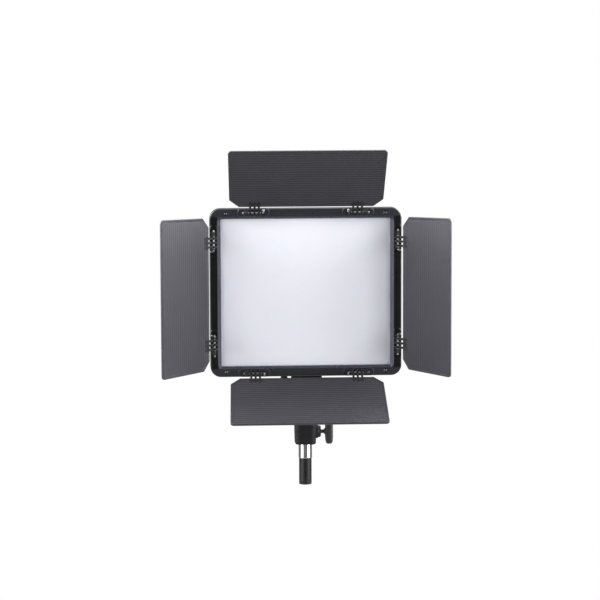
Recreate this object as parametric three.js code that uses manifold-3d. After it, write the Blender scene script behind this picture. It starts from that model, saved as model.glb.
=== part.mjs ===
// LED panel light with four barn doors, on a tilting receiver that clamps to a stand spigot.
// Millimetres, +Z up, +X to the viewer's right, the light faces -Y.
// The origin is the centre of the flat bottom end of the riser tube; the tube's axis is Z.
import * as THREE from "three";
import { mergeVertices } from "three/addons/utils/BufferGeometryUtils.js";
import Module from "manifold-3d";

// ---- driving dimensions -------------------------------------------------------------

// Head. Its own frame: origin at the panel's centre on the front face, y grows towards the back.
const FRAME_WIDTH = 225;
const FRAME_HEIGHT = 198.2;
const FRAME_DEPTH = 13;
const FRAME_CORNER = 12.5;
const FRAME_EDGE = 1.5;
const FRAME_WALL = 3;
const WINDOW_WIDTH = 199;
const WINDOW_HEIGHT = 173.8;
const WINDOW_CORNER = 1.5;
const MOUTH_WIDTH = 206.6;
const MOUTH_HEIGHT = 179.2;
const MOUTH_CORNER = 6;
const SLOPE_DEPTH = 3.3;
const LIP_BACK = 5.5;
const SHEET_HALF_HEIGHT = 88.5;
const SHEET_HALF_WIDTH = 102.5;
const HOUSING_INSET = 2.5;
const HOUSING_BACK = 46;
const HOUSING_WALL = 2.5;
const HOUSING_EDGE = 5;
const GAP = 0.3;

// Hinges, measured from the middle of a side (along) and from its outer edge (inset).
const HINGE_ALONG = 60;
const HINGE_INSET = 5;
const HINGE_HEIGHT = 4.76;
const FINGER_PITCH = 5.1;
const FINGER_WIDTH = 2.4;
const EYE_RADIUS = 3.5;
const EYE_BORE = 1.4;
const ROD_RADIUS = 1.1;
const ROD_INNER = 48.3;
const ROD_OUTER = 74.4;
const ROD_HOOK = 4.3;
const POSTS = [[50.9, 52.9], [67.2, 72.4]];
const POST_HALF = 2.7;
const POST_PROUD = 0.3;
const BOSS_ALONG = [42.5, 80];
const BOSS_PROUD = 0.9;

// Barn-door leaves: radii from the hinge axis, half lengths along it.
const LEAF_NEAR = 9.5;
const LEAF_FAR = 88;
const LEAF_HALF_NEAR = 89.3;
const LEAF_HALF_FAR = 91.7;
const LEAF_THICKNESS = 2.2;
const LEAF_CHAMFER_ALONG = 11;
const LEAF_CHAMFER_OUT = 9.75;
const LEAF_CORNER = 4;
const SIDES = {
  top: { turn: 0, reach: FRAME_HEIGHT / 2, open: 31.9, ends: ["left", "right"] },
  right: { turn: 90, reach: FRAME_WIDTH / 2, open: 51.8, ends: ["upper", "lower"] },
  bottom: { turn: 180, reach: FRAME_HEIGHT / 2, open: 56, ends: ["right", "left"] },
  left: { turn: -90, reach: FRAME_WIDTH / 2, open: 45.5, ends: ["lower", "upper"] },
};

// Corner screws and the control panel on the back.
const SCREW_X = 93.5;
const SCREW_Z = 93.2;
const SCREW_HEAD = 2.4;
const PANEL_Z = -50;
const PANEL_WIDTH = 151;
const PANEL_HEIGHT = 43;
const BRIGHTNESS_X = -58;
const COLOUR_X = -32;
const DISPLAY_WIDTH = 34;
const DISPLAY_HEIGHT = 18;
const SWITCH_X = 34;
const INLET_X = 60;
const ROCKER_TILT = 7;
const KNOB_START = 135;

// Stand stub, receiver and tilt.
const PANEL_CENTRE_Z = 232.5;
const TUBE_DEPTH = 26;
const TUBE_TOP = 31.8;
const TUBE_RADIUS = 7.5;
const TUBE_BORE = 6.6;
const SPIGOT_RADIUS = 8;
const SPIGOT_TOP = 90;
const GROOVE_RADIUS = 6.5;
const RECEIVER_BOTTOM = 48.8;
const RECEIVER_WIDTH = 25.7;
const CLAMP_Z = 63.1;
const PIVOT_DROP = 113;
const PIVOT_Z = PANEL_CENTRE_Z - PIVOT_DROP;
const TONGUE_HALF = 9.4;
const TONGUE_RADIUS = 9.5;
const EAR_INNER = 10.6;
const EAR_LEFT = 16.2;
const EAR_RIGHT = 19.5;
const FOOT_PLATE = 6.2;
const EAR_RADIUS = 9.5;
const BOLT_RADIUS = 2.95;
const BOLT_HOLE = 3.35;
const STUD_RADIUS = 2.4;
const STUD_HOLE = 2.75;
const LEVER_HALF = 15.2;
const TILT_LEVER_START = 50;

// ---- materials ----------------------------------------------------------------------

const plastic = (color, roughness) => new THREE.MeshStandardMaterial({ color, roughness });
const metal = (color, roughness) =>
  new THREE.MeshStandardMaterial({ color, roughness, metalness: 1 });
const FINISH = {
  frame: plastic(0x1b1b1d, 0.5),
  leaf: plastic(0x2e2d31, 0.55),
  housing: plastic(0x1e1e20, 0.6),
  bracket: plastic(0x202022, 0.55),
  lever: plastic(0x222322, 0.5),
  knob: plastic(0x19191b, 0.45),
  opal: plastic(0xeeeef4, 0.4),
  reflector: plastic(0xf2f2f2, 0.35),
  board: plastic(0xe8e8e4, 0.6),
  circuit: plastic(0x14502c, 0.5),
  display: plastic(0x0a0b0e, 0.1),
  panel: plastic(0x101012, 0.4),
  plug: plastic(0x161616, 0.7),
  tube: metal(0x141416, 0.45),
  chrome: metal(0xd8dade, 0.12),
  steel: metal(0x6a6c70, 0.35),
  blacksteel: metal(0x232325, 0.45),
  aluminium: metal(0xb9bcc0, 0.4),
  brass: metal(0xb08d4a, 0.35),
};

// ---- solids -------------------------------------------------------------------------

const wasm = await Module();
wasm.setup();

function solidOf(shape) {
  if (!shape.isBufferGeometry) return shape;
  const bare = shape.clone();
  bare.deleteAttribute("normal");
  bare.deleteAttribute("uv");
  const merged = mergeVertices(bare, 1e-4);
  return new wasm.Manifold(new wasm.Mesh({
    numProp: 3,
    vertProperties: merged.attributes.position.array,
    triVerts: new Uint32Array(merged.index.array),
  }));
}

const join = (...shapes) => shapes.map(solidOf).reduce((all, one) => all.add(one));
const cut = (shape, ...tools) =>
  tools.map(solidOf).reduce((all, one) => all.subtract(one), solidOf(shape));

const hullOf = (...shapes) => wasm.Manifold.hull(shapes.map(solidOf));

function geometryOf(shape) {
  if (shape.isBufferGeometry) return shape;
  const mesh = shape.getMesh();
  const geometry = new THREE.BufferGeometry();
  geometry.setAttribute("position", new THREE.BufferAttribute(mesh.vertProperties, 3));
  geometry.setIndex(new THREE.BufferAttribute(mesh.triVerts, 1));
  return geometry;
}

function add(parent, name, shape, material) {
  const mesh = new THREE.Mesh(geometryOf(shape), material);
  mesh.name = name;
  parent.add(mesh);
  return mesh;
}

function box(x, y, z) {
  const size = [x, y, z].map(([low, high]) => Math.abs(high - low));
  const middle = [x, y, z].map(([low, high]) => (low + high) / 2);
  return new THREE.BoxGeometry(...size).translate(...middle);
}

const cylinder = (radius, [low, high], sides) =>
  new THREE.CylinderGeometry(radius, radius, Math.abs(high - low), sides);
const alongX = (radius, x, y, z, sides = 20) =>
  cylinder(radius, x, sides).rotateZ(-Math.PI / 2).translate((x[0] + x[1]) / 2, y, z);
const alongY = (radius, x, y, z, sides = 20) =>
  cylinder(radius, y, sides).translate(x, (y[0] + y[1]) / 2, z);
const alongZ = (radius, x, y, z, sides = 20) =>
  cylinder(radius, z, sides).rotateX(Math.PI / 2).translate(x, y, (z[0] + z[1]) / 2);

function roundedRect(width, height, radius, x = 0, z = 0) {
  const dx = width / 2 - radius;
  const dz = height / 2 - radius;
  const quarter = Math.PI / 2;
  const shape = new THREE.Shape();
  shape.absarc(x + dx, z + dz, radius, 0, quarter);
  shape.absarc(x - dx, z + dz, radius, quarter, 2 * quarter);
  shape.absarc(x - dx, z - dz, radius, 2 * quarter, 3 * quarter);
  shape.absarc(x + dx, z - dz, radius, 3 * quarter, 4 * quarter);
  return shape;
}

// A flat shape drawn in X and Z, filled from y = front to y = back. A soft edge rounds both ends.
function slab(shape, front, back, edge = 0, curveSegments = 5, bevelSegments = 2) {
  const geometry = new THREE.ExtrudeGeometry(shape, {
    depth: back - front - 2 * edge,
    bevelEnabled: edge > 0,
    bevelThickness: edge,
    bevelSize: edge,
    bevelOffset: -edge,
    bevelSegments,
    curveSegments,
  });
  return geometry.rotateX(Math.PI / 2).translate(0, back - edge, 0);
}

// The same, drawn in X and Y and filled from z = low to z = high.
const block = (shape, low, high, edge) =>
  slab(shape, -high, -low, edge).rotateX(-Math.PI / 2);

// A turned piece round Z from [radius, z] pairs that start and end on the axis.
const turned = (profile, sides = 24) =>
  new THREE.LatheGeometry(profile.map(([r, z]) => new THREE.Vector2(r, z)), sides)
    .rotateX(Math.PI / 2);

const radians = THREE.MathUtils.degToRad;
const onSide = (geometry, side) => geometry.rotateY(radians(side.turn));
const ordered = (sign, [low, high]) => (sign > 0 ? [low, high] : [-high, -low]);

// ---- front frame --------------------------------------------------------------------

// One hinge's raised boss and two posts, in the side's own frame with z outwards. The posts end just
// over the rod's axis, so its bore is a groove that leaves the front of the rod bare.
function hingeSeat(side, sign) {
  const axis = side.reach - HINGE_INSET;
  const [near, far] = ordered(sign, BOSS_ALONG);
  const pad = roundedRect(far - near, 9.3, 4.2, (near + far) / 2, side.reach - 4.75);
  const posts = POSTS.map((span) =>
    box(ordered(sign, span), [-HINGE_HEIGHT - POST_PROUD, 1], [axis - POST_HALF, axis + POST_HALF]));
  return [slab(pad, -BOSS_PROUD, 6, 0, 2), ...posts].map((piece) => onSide(piece, side));
}

function rodBore(side, sign) {
  const along = ordered(sign, [ROD_INNER - 1, ROD_OUTER + 1]);
  const bore = alongX(EYE_BORE, along, -HINGE_HEIGHT, side.reach - HINGE_INSET, 6);
  return onSide(bore, side);
}

const corners = [[-1, 1], [1, 1], [-1, -1], [1, -1]];

function frontFrame() {
  const outline = roundedRect(FRAME_WIDTH, FRAME_HEIGHT, FRAME_CORNER);
  const pocket = roundedRect(
    FRAME_WIDTH - 2 * FRAME_WALL, FRAME_HEIGHT - 2 * FRAME_WALL, FRAME_CORNER - FRAME_WALL);
  const throat = roundedRect(WINDOW_WIDTH, WINDOW_HEIGHT, WINDOW_CORNER);
  // The lip's slope: a straight taper from the wide mouth at the front face to the throat.
  const mouth = roundedRect(MOUTH_WIDTH, MOUTH_HEIGHT, MOUTH_CORNER);
  const slope = hullOf(slab(mouth, -0.1, 0, 0, 3), slab(throat, SLOPE_DEPTH, SLOPE_DEPTH + 0.1, 0, 3));
  const seats = Object.values(SIDES).flatMap((side) => [...hingeSeat(side, -1), ...hingeSeat(side, 1)]);
  const bores = Object.values(SIDES).flatMap((side) => [rodBore(side, -1), rodBore(side, 1)]);
  const pillars = corners.map(([i, k]) => alongY(4, i * SCREW_X, [4, FRAME_DEPTH - 0.2], k * SCREW_Z, 8));
  const holes = corners.flatMap(([i, k]) => [
    alongY(1.9, i * SCREW_X, [-1, FRAME_DEPTH + 1], k * SCREW_Z, 6),
    alongY(SCREW_HEAD + GAP, i * SCREW_X, [-2, 3.3], k * SCREW_Z, 12),
  ]);
  const shell = cut(
    slab(outline, 0, FRAME_DEPTH, FRAME_EDGE, 5, 1),
    slab(pocket, LIP_BACK, FRAME_DEPTH + 1, 0, 3),
    slope,
    slab(throat, -1, FRAME_DEPTH, 0, 3),
  );
  return cut(join(shell, ...seats, ...pillars), ...bores, ...holes);
}

function cornerScrew() {
  const head = alongY(SCREW_HEAD, 0, [0.8, 3], 0, 14);
  const shank = alongY(1.5, 0, [2, 25], 0, 8);
  const cross = [[1.6, 0.35], [0.35, 1.6]].map(([a, b]) => box([-a, a], [0, 2], [-b, b]));
  return cut(join(head, shank), ...cross);
}

function hingeRod(side, sign) {
  const axis = side.reach - HINGE_INSET;
  const bend = sign * (ROD_INNER + ROD_RADIUS);
  const straight = ordered(sign, [ROD_INNER + ROD_RADIUS, ROD_OUTER]);
  const pieces = [
    alongX(ROD_RADIUS, straight, -HINGE_HEIGHT, axis, 6),
    alongZ(ROD_RADIUS, bend, -HINGE_HEIGHT, [axis, axis + ROD_HOOK], 6),
    new THREE.SphereGeometry(ROD_RADIUS + 0.03, 6, 4).translate(bend, -HINGE_HEIGHT, axis),
  ];
  return join(...pieces.map((piece) => onSide(piece, side)));
}

// ---- barn doors ---------------------------------------------------------------------

function leafOutline() {
  const near = LEAF_HALF_NEAR;
  const slant = (LEAF_HALF_FAR - near) / (LEAF_FAR - LEAF_NEAR);
  const shoulder = near + slant * LEAF_CHAMFER_OUT;
  const cornerX = LEAF_HALF_FAR - LEAF_CORNER;
  const cornerZ = LEAF_FAR - LEAF_CORNER;
  const shape = new THREE.Shape();
  shape.moveTo(LEAF_CHAMFER_ALONG - near, LEAF_NEAR);
  shape.lineTo(near - LEAF_CHAMFER_ALONG, LEAF_NEAR);
  shape.lineTo(shoulder, LEAF_NEAR + LEAF_CHAMFER_OUT);
  shape.absarc(cornerX, cornerZ, LEAF_CORNER, 0, Math.PI / 2);
  shape.absarc(-cornerX, cornerZ, LEAF_CORNER, Math.PI / 2, Math.PI);
  shape.lineTo(-shoulder, LEAF_NEAR + LEAF_CHAMFER_OUT);
  return shape;
}

// A leaf in its own frame: the hinge axis is X through the origin and the leaf reaches along +Z.
function leaf() {
  const plate = slab(leafOutline(), -LEAF_THICKNESS / 2, LEAF_THICKNESS / 2);
  const fingers = [-HINGE_ALONG, HINGE_ALONG].flatMap((centre) => [-1, 0, 1].flatMap((step) => {
    const middle = centre + step * FINGER_PITCH;
    const along = [middle - FINGER_WIDTH / 2, middle + FINGER_WIDTH / 2];
    return [box(along, [-1.3, 1.3], [0, 14]), alongX(EYE_RADIUS, along, 0, 0, 10)];
  }));
  const bores = [-HINGE_ALONG, HINGE_ALONG].map((centre) =>
    alongX(EYE_BORE, [centre - 8, centre + 8], 0, 0, 6));
  return cut(join(plate, ...fingers), ...bores);
}

// ---- inside the head ----------------------------------------------------------------

const SHEET = [LIP_BACK + GAP, LIP_BACK + GAP + 2];
const SPACER = [SHEET[1] + GAP, 16];
const BOARD = [16.3, 17.9];
const SINK = [18.2, 20];

function diffuser() {
  return slab(roundedRect(2 * SHEET_HALF_WIDTH, 2 * SHEET_HALF_HEIGHT, 4), ...SHEET, 0, 3);
}

function reflectorFrame() {
  const outer = roundedRect(2 * SHEET_HALF_WIDTH, 2 * SHEET_HALF_HEIGHT, 4);
  outer.holes.push(roundedRect(WINDOW_WIDTH, WINDOW_HEIGHT, 2));
  return slab(outer, ...SPACER, 0, 3);
}

// The board, with its LED packages in a grid on the front.
function ledBoard() {
  const packages = [];
  for (let column = -3; column <= 3; column += 1) {
    for (let row = -2; row <= 2; row += 1) {
      const x = column * 28;
      const z = row * 34;
      packages.push(box([x - 1.7, x + 1.7], [BOARD[0] - 0.7, BOARD[0] + 0.2], [z - 1.7, z + 1.7]));
    }
  }
  return join(box([-101, 101], BOARD, [-86.5, 86.5]), ...packages);
}

function heatSink() {
  const fins = [];
  for (let fin = -5; fin <= 5; fin += 1) {
    fins.push(box([fin * 18 - 0.8, fin * 18 + 0.8], [SINK[0] + 1, 26], [-70, 70]));
  }
  return join(box([-101, 101], SINK, [-86.5, 86.5]), ...fins);
}

function driverBoard() {
  const coils = [-26, 0].map((x) => box([x - 7, x + 7], [32, 40], [44, 58]));
  const cans = [-34, -18, 20, 36].map((x) => alongY(4, x, [32, 41], 20, 12));
  const chip = box([14, 28], [32, 34.5], [42, 56]);
  return join(box([-48, 48], [30.6, 32.2], [6, 70]), ...coils, ...cans, chip);
}

// ---- rear housing and controls ------------------------------------------------------

const HOUSING_WIDTH = FRAME_WIDTH - 2 * HOUSING_INSET;
const HOUSING_HEIGHT = FRAME_HEIGHT - 2 * HOUSING_INSET;
const HOUSING_FRONT = FRAME_DEPTH + GAP;
const HOUSING_CORNER = FRAME_CORNER - HOUSING_INSET + 1;
const HOUSING_BASE = -HOUSING_HEIGHT / 2;
const INNER_BACK = HOUSING_BACK - HOUSING_WALL;

function housingShell() {
  const outer = roundedRect(HOUSING_WIDTH, HOUSING_HEIGHT, HOUSING_CORNER);
  const inner = roundedRect(
    HOUSING_WIDTH - 2 * HOUSING_WALL, HOUSING_HEIGHT - 2 * HOUSING_WALL, HOUSING_CORNER - HOUSING_WALL);
  const reach = [-FRAME_WIDTH, FRAME_WIDTH];
  return cut(
    slab(outer, HOUSING_FRONT - HOUSING_EDGE, HOUSING_BACK, HOUSING_EDGE, 4),
    slab(inner, 0, INNER_BACK, HOUSING_EDGE - 1, 3, 1),
    box(reach, [0, HOUSING_FRONT], reach),
  );
}

function ventSlots() {
  const slots = [];
  for (const side of [-1, 1]) {
    for (let row = 0; row < 7; row += 1) {
      const z = 18 + row * 8;
      slots.push(box(ordered(side, [16, 76]), [INNER_BACK - 2, HOUSING_BACK + 1], [z - 1.3, z + 1.3]));
    }
  }
  return slots;
}

function rearHousing() {
  const posts = corners.map(([i, k]) =>
    alongY(3.2, i * SCREW_X, [HOUSING_FRONT + 0.2, 38], k * SCREW_Z, 10));
  const standoffs = [[-44, 10], [44, 10], [-44, 66], [44, 66]].map(([x, z]) =>
    alongY(2.6, x, [32.6, INNER_BACK + 1], z, 8));
  const footBosses = [-8, 8].map((y) =>
    alongZ(4.2, 0, TUBE_DEPTH + y, [HOUSING_BASE + 1, -89.6], 10));
  const pilots = corners.map(([i, k]) =>
    alongY(1.8, i * SCREW_X, [HOUSING_FRONT - 1, 27], k * SCREW_Z, 8));
  const footHoles = [-8, 8].map((y) =>
    alongZ(2.3, 0, TUBE_DEPTH + y, [HOUSING_BASE - 1, -88], 8));
  const through = [INNER_BACK - 5, HOUSING_BACK + 1];
  const openings = [
    box([-PANEL_WIDTH / 2 - 0.4, PANEL_WIDTH / 2 + 0.4], [HOUSING_BACK - 1.1, HOUSING_BACK + 1],
      [PANEL_Z - PANEL_HEIGHT / 2 - 0.4, PANEL_Z + PANEL_HEIGHT / 2 + 0.4]),
    alongY(4.2, BRIGHTNESS_X, through, PANEL_Z, 16),
    alongY(4.2, COLOUR_X, through, PANEL_Z, 16),
    box([-15, 15], through, [PANEL_Z - 7, PANEL_Z + 7]),
    box([SWITCH_X - 7, SWITCH_X + 7], through, [PANEL_Z - 10.8, PANEL_Z + 10.8]),
    alongY(5.9, INLET_X, through, PANEL_Z, 20),
  ];
  return cut(
    join(housingShell(), ...posts, ...standoffs, ...footBosses),
    ...pilots, ...footHoles, ...openings, ...ventSlots(),
  );
}

const PLATE = [HOUSING_BACK - 0.8, HOUSING_BACK + 0.7];

function controlPanel() {
  const through = [PLATE[0] - 1, PLATE[1] + 1];
  return cut(
    slab(roundedRect(PANEL_WIDTH, PANEL_HEIGHT, 3, 0, PANEL_Z), ...PLATE, 0, 4),
    alongY(4.4, BRIGHTNESS_X, through, PANEL_Z, 16),
    alongY(4.4, COLOUR_X, through, PANEL_Z, 16),
    box([-DISPLAY_WIDTH / 2, DISPLAY_WIDTH / 2], through,
      [PANEL_Z - DISPLAY_HEIGHT / 2, PANEL_Z + DISPLAY_HEIGHT / 2]),
    box([SWITCH_X - 7, SWITCH_X + 7], through, [PANEL_Z - 10.8, PANEL_Z + 10.8]),
    alongY(5.9, INLET_X, through, PANEL_Z, 20),
  );
}

function displayWindow() {
  return slab(roundedRect(DISPLAY_WIDTH - 2 * GAP, DISPLAY_HEIGHT - 2 * GAP, 1, 0, PANEL_Z),
    HOUSING_BACK - 0.7, HOUSING_BACK + 0.5, 0, 2);
}

function displayModule() {
  return box([-16, 16], [INNER_BACK - 4, INNER_BACK - GAP], [PANEL_Z - 9, PANEL_Z + 9]);
}

function potentiometer(x) {
  return join(
    box([x - 6, x + 6], [INNER_BACK - 7, INNER_BACK - GAP], [PANEL_Z - 6, PANEL_Z + 6]),
    alongY(3.7, x, [INNER_BACK - 1, HOUSING_BACK + 1], PANEL_Z, 16),
    alongY(2.9, x, [HOUSING_BACK, HOUSING_BACK + 9], PANEL_Z, 16),
  );
}

// A fluted knob round Y through the origin, its base at y = 0, with a pointer groove on its face.
function knob() {
  const flutes = 16;
  const shape = new THREE.Shape();
  for (let i = 0; i < 2 * flutes; i += 1) {
    const radius = i % 2 ? 8.8 : 9.5;
    const angle = (i * Math.PI) / flutes;
    const point = [radius * Math.cos(angle), radius * Math.sin(angle)];
    if (i) shape.lineTo(...point);
    else shape.moveTo(...point);
  }
  return cut(
    slab(shape, 0, 11.5, 0.7, 1, 1),
    alongY(3.2, 0, [-1, 8.6], 0, 12),
    box([-0.6, 0.6], [10.9, 12], [2.5, 8]),
  );
}

function switchFrame() {
  const flange = box([-7.6, 7.6], [HOUSING_BACK + 1, HOUSING_BACK + 2.4], [-11.6, 11.6]);
  const body = box([-6.6, 6.6], [36, HOUSING_BACK + 1.5], [-10.4, 10.4]);
  const well = box([-5.4, 5.4], [38, HOUSING_BACK + 3], [-9.1, 9.1]);
  return cut(join(flange, body), well);
}

// The rocker round X through its pivot, before it is tipped to off: a shallow V on top.
function rocker() {
  const shape = new THREE.Shape();
  shape.moveTo(-1.4, -7.9);
  shape.lineTo(6.6, -7.9);
  shape.lineTo(5.4, 0);
  shape.lineTo(6.6, 7.9);
  shape.lineTo(-1.4, 7.9);
  const geometry = new THREE.ExtrudeGeometry(shape, { depth: 10.2, bevelEnabled: false });
  return geometry.rotateY(Math.PI / 2).rotateX(Math.PI / 2).translate(-5.1, 0, 0);
}

function dcInlet() {
  const shell = join(
    alongY(5.5, 0, [36, HOUSING_BACK + 1.5], 0, 20),
    alongY(7.2, 0, [HOUSING_BACK + 1, HOUSING_BACK + 2.2], 0, 20),
  );
  const socket = alongY(3.2, 0, [38.5, HOUSING_BACK + 3], 0, 20);
  return join(cut(shell, socket), alongY(1, 0, [37, 43.6], 0, 10));
}

// ---- foot, tilt lock and receiver ---------------------------------------------------

function ear(sign) {
  const across = ordered(sign, [EAR_INNER, sign > 0 ? EAR_RIGHT : EAR_LEFT]);
  const depth = [TUBE_DEPTH - EAR_RADIUS + 0.1, TUBE_DEPTH + EAR_RADIUS - 0.1];
  return join(
    box(across, depth, [-PIVOT_DROP, HOUSING_BASE - GAP - 1]),
    alongX(EAR_RADIUS, across, TUBE_DEPTH, -PIVOT_DROP),
  );
}

function headFoot() {
  const top = HOUSING_BASE - GAP;
  const plate = box(
    [-EAR_LEFT, EAR_RIGHT], [TUBE_DEPTH - 12, TUBE_DEPTH + 12], [top - FOOT_PLATE, top]);
  const screws = [-8, 8].flatMap((y) => [
    alongZ(2.3, 0, TUBE_DEPTH + y, [top - FOOT_PLATE - 1, top + 1], 8),
    alongZ(3.8, 0, TUBE_DEPTH + y, [top - FOOT_PLATE - 1, top - FOOT_PLATE + 2.7], 12),
  ]);
  const bolt = alongX(BOLT_HOLE, [-EAR_LEFT - 1, EAR_RIGHT + 1], TUBE_DEPTH, -PIVOT_DROP, 16);
  return cut(join(plate, ear(-1), ear(1)), ...screws, bolt);
}

function footScrew(y) {
  const seat = HOUSING_BASE - GAP - FOOT_PLATE + 2.4;
  return join(
    alongZ(3.5, 0, TUBE_DEPTH + y, [seat - 2, seat], 12),
    alongZ(1.9, 0, TUBE_DEPTH + y, [seat - 0.5, HOUSING_BASE + 6], 8),
  );
}

function tiltBolt() {
  return join(
    alongX(5.7, [EAR_RIGHT + GAP, EAR_RIGHT + GAP + 3.9], TUBE_DEPTH, -PIVOT_DROP, 6),
    alongX(BOLT_RADIUS, [-26, EAR_RIGHT + 1], TUBE_DEPTH, -PIVOT_DROP, 16),
  );
}

function tiltWasher(sign) {
  const across = ordered(sign, [TONGUE_HALF + 0.2, EAR_INNER - 0.2]);
  return cut(
    alongX(8.4, across, TUBE_DEPTH, -PIVOT_DROP),
    alongX(BOLT_HOLE, ordered(sign, [TONGUE_HALF, EAR_INNER]), TUBE_DEPTH, -PIVOT_DROP, 16),
  );
}

// A T-shaped lever round X: its bar starts at x = 0, and a nose may reach back over the stud.
function tLever(width, nose, bore) {
  const shape = new THREE.Shape();
  const taper = width * 0.1;
  const nip = 0.8;
  shape.moveTo(0, -7);
  shape.lineTo(taper, nip - LEVER_HALF);
  shape.lineTo(taper + nip, -LEVER_HALF);
  shape.lineTo(width - taper - nip, -LEVER_HALF);
  shape.lineTo(width - taper, nip - LEVER_HALF);
  shape.lineTo(width, -7);
  shape.lineTo(width, 7);
  shape.lineTo(width - taper, LEVER_HALF - nip);
  shape.lineTo(width - taper - nip, LEVER_HALF);
  shape.lineTo(taper + nip, LEVER_HALF);
  shape.lineTo(taper, LEVER_HALF - nip);
  shape.lineTo(0, 7);
  const bar = slab(shape, -4.4, 4.4, 0.7, 1, 1);
  const flare = new THREE.CylinderGeometry(5.3, nose.radius, nose.length + 0.9, 18)
    .rotateZ(-Math.PI / 2)
    .translate((0.9 - nose.length) / 2, 0, 0);
  return cut(join(bar, flare), alongX(bore.radius, [-nose.length - 1, bore.depth], 0, 0, 16));
}

function tiltInsert() {
  return cut(
    join(alongX(4.5, [0, 2], 0, 0), alongX(4.1, [1, 9.6], 0, 0)),
    alongX(BOLT_HOLE, [-1, 11], 0, 0, 16),
  );
}

function receiverBody() {
  const shoulder = PIVOT_Z - 13.5;
  const body = block(roundedRect(RECEIVER_WIDTH, RECEIVER_WIDTH, 7), RECEIVER_BOTTOM, shoulder, 2);
  const tongue = [-TONGUE_HALF, TONGUE_HALF];
  return cut(
    join(
      body,
      box(tongue, [0.1 - TONGUE_RADIUS, TONGUE_RADIUS - 0.1], [shoulder - 2, PIVOT_Z]),
      alongX(TONGUE_RADIUS, tongue, 0, PIVOT_Z),
      alongX(8.2, [8, 15.3], 0, CLAMP_Z),
      alongX(7.2, [14, 18.5], 0, CLAMP_Z),
    ),
    alongZ(SPIGOT_RADIUS + 0.35, 0, 0, [RECEIVER_BOTTOM - 1, SPIGOT_TOP + 3], 24),
    alongX(BOLT_HOLE, [-TONGUE_HALF - 1, TONGUE_HALF + 1], 0, PIVOT_Z, 16),
    alongX(STUD_HOLE, [4, 20], 0, CLAMP_Z, 16),
  );
}

const spigot = () => turned([
  [0, 9], [5.9, 9], [6.3, 9.6], [6.3, TUBE_TOP], [7.6, TUBE_TOP], [SPIGOT_RADIUS, TUBE_TOP + 0.5],
  [SPIGOT_RADIUS, CLAMP_Z - 6.5], [GROOVE_RADIUS, CLAMP_Z - 5], [GROOVE_RADIUS, CLAMP_Z + 5],
  [SPIGOT_RADIUS, CLAMP_Z + 6.5], [SPIGOT_RADIUS, SPIGOT_TOP - 1.5], [6.5, SPIGOT_TOP],
  [0, SPIGOT_TOP],
]);

const riserTube = () => cut(
  alongZ(TUBE_RADIUS, 0, 0, [2.3, TUBE_TOP - GAP], 24),
  alongZ(TUBE_BORE, 0, 0, [0, TUBE_TOP + 1], 24),
);

const endPlug = () => turned([
  [0, 0], [7.3, 0], [TUBE_RADIUS, 0.2], [TUBE_RADIUS, 2], [6.2, 2], [6.2, 7.5], [5.6, 8.5], [0, 8.5],
]);

// ---- assembly -----------------------------------------------------------------------

const light = new THREE.Group();

const head = new THREE.Group();
head.position.set(0, -TUBE_DEPTH, PANEL_CENTRE_Z);
light.add(head);

add(head, "front_frame", frontFrame(), FINISH.frame);
add(head, "diffuser", diffuser(), FINISH.opal);
add(head, "reflector_frame", reflectorFrame(), FINISH.reflector);
add(head, "led_board", ledBoard(), FINISH.board);
add(head, "heat_sink", heatSink(), FINISH.aluminium);
add(head, "driver_board", driverBoard(), FINISH.circuit);
add(head, "rear_housing", rearHousing(), FINISH.housing);
add(head, "control_panel", controlPanel(), FINISH.panel);
add(head, "display_window", displayWindow(), FINISH.display);
add(head, "display_module", displayModule(), FINISH.circuit);

for (const [name, x] of [["brightness", BRIGHTNESS_X], ["colour", COLOUR_X]]) {
  add(head, `${name}_potentiometer`, potentiometer(x), FINISH.steel);
  const dial = add(head, `${name}_knob`, knob(), FINISH.knob);
  dial.position.set(x, HOUSING_BACK + 1.3, PANEL_Z);
  dial.rotation.y = radians(KNOB_START);
}

const switchHousing = add(head, "switch_frame", switchFrame(), FINISH.panel);
switchHousing.position.set(SWITCH_X, 0, PANEL_Z);
const power = add(head, "power_rocker", rocker(), FINISH.knob);
power.position.set(SWITCH_X, 42.6, PANEL_Z);
power.rotation.x = radians(-ROCKER_TILT);
const inlet = add(head, "dc_inlet", dcInlet(), FINISH.panel);
inlet.position.set(INLET_X, 0, PANEL_Z);

const cornerNames = ["top_left", "top_right", "bottom_left", "bottom_right"];
corners.forEach(([i, k], index) => {
  const screw = add(head, `corner_screw_${cornerNames[index]}`, cornerScrew(), FINISH.blacksteel);
  screw.position.set(i * SCREW_X, 0, k * SCREW_Z);
});

for (const [name, side] of Object.entries(SIDES)) {
  add(head, `hinge_rod_${name}_${side.ends[0]}`, hingeRod(side, -1), FINISH.steel);
  add(head, `hinge_rod_${name}_${side.ends[1]}`, hingeRod(side, 1), FINISH.steel);
  const turn = new THREE.Group();
  turn.rotation.y = radians(side.turn);
  head.add(turn);
  const door = add(turn, `barn_door_${name}`, leaf(), FINISH.leaf);
  door.position.set(0, -HINGE_HEIGHT, side.reach - HINGE_INSET);
  door.rotation.x = radians(side.open);
}

add(head, "head_foot", headFoot(), FINISH.bracket);
add(head, "foot_screw_front", footScrew(-8), FINISH.blacksteel);
add(head, "foot_screw_back", footScrew(8), FINISH.blacksteel);
add(head, "tilt_bolt", tiltBolt(), FINISH.blacksteel);
add(head, "tilt_washer_left", tiltWasher(-1), FINISH.plug);
add(head, "tilt_washer_right", tiltWasher(1), FINISH.plug);

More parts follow.
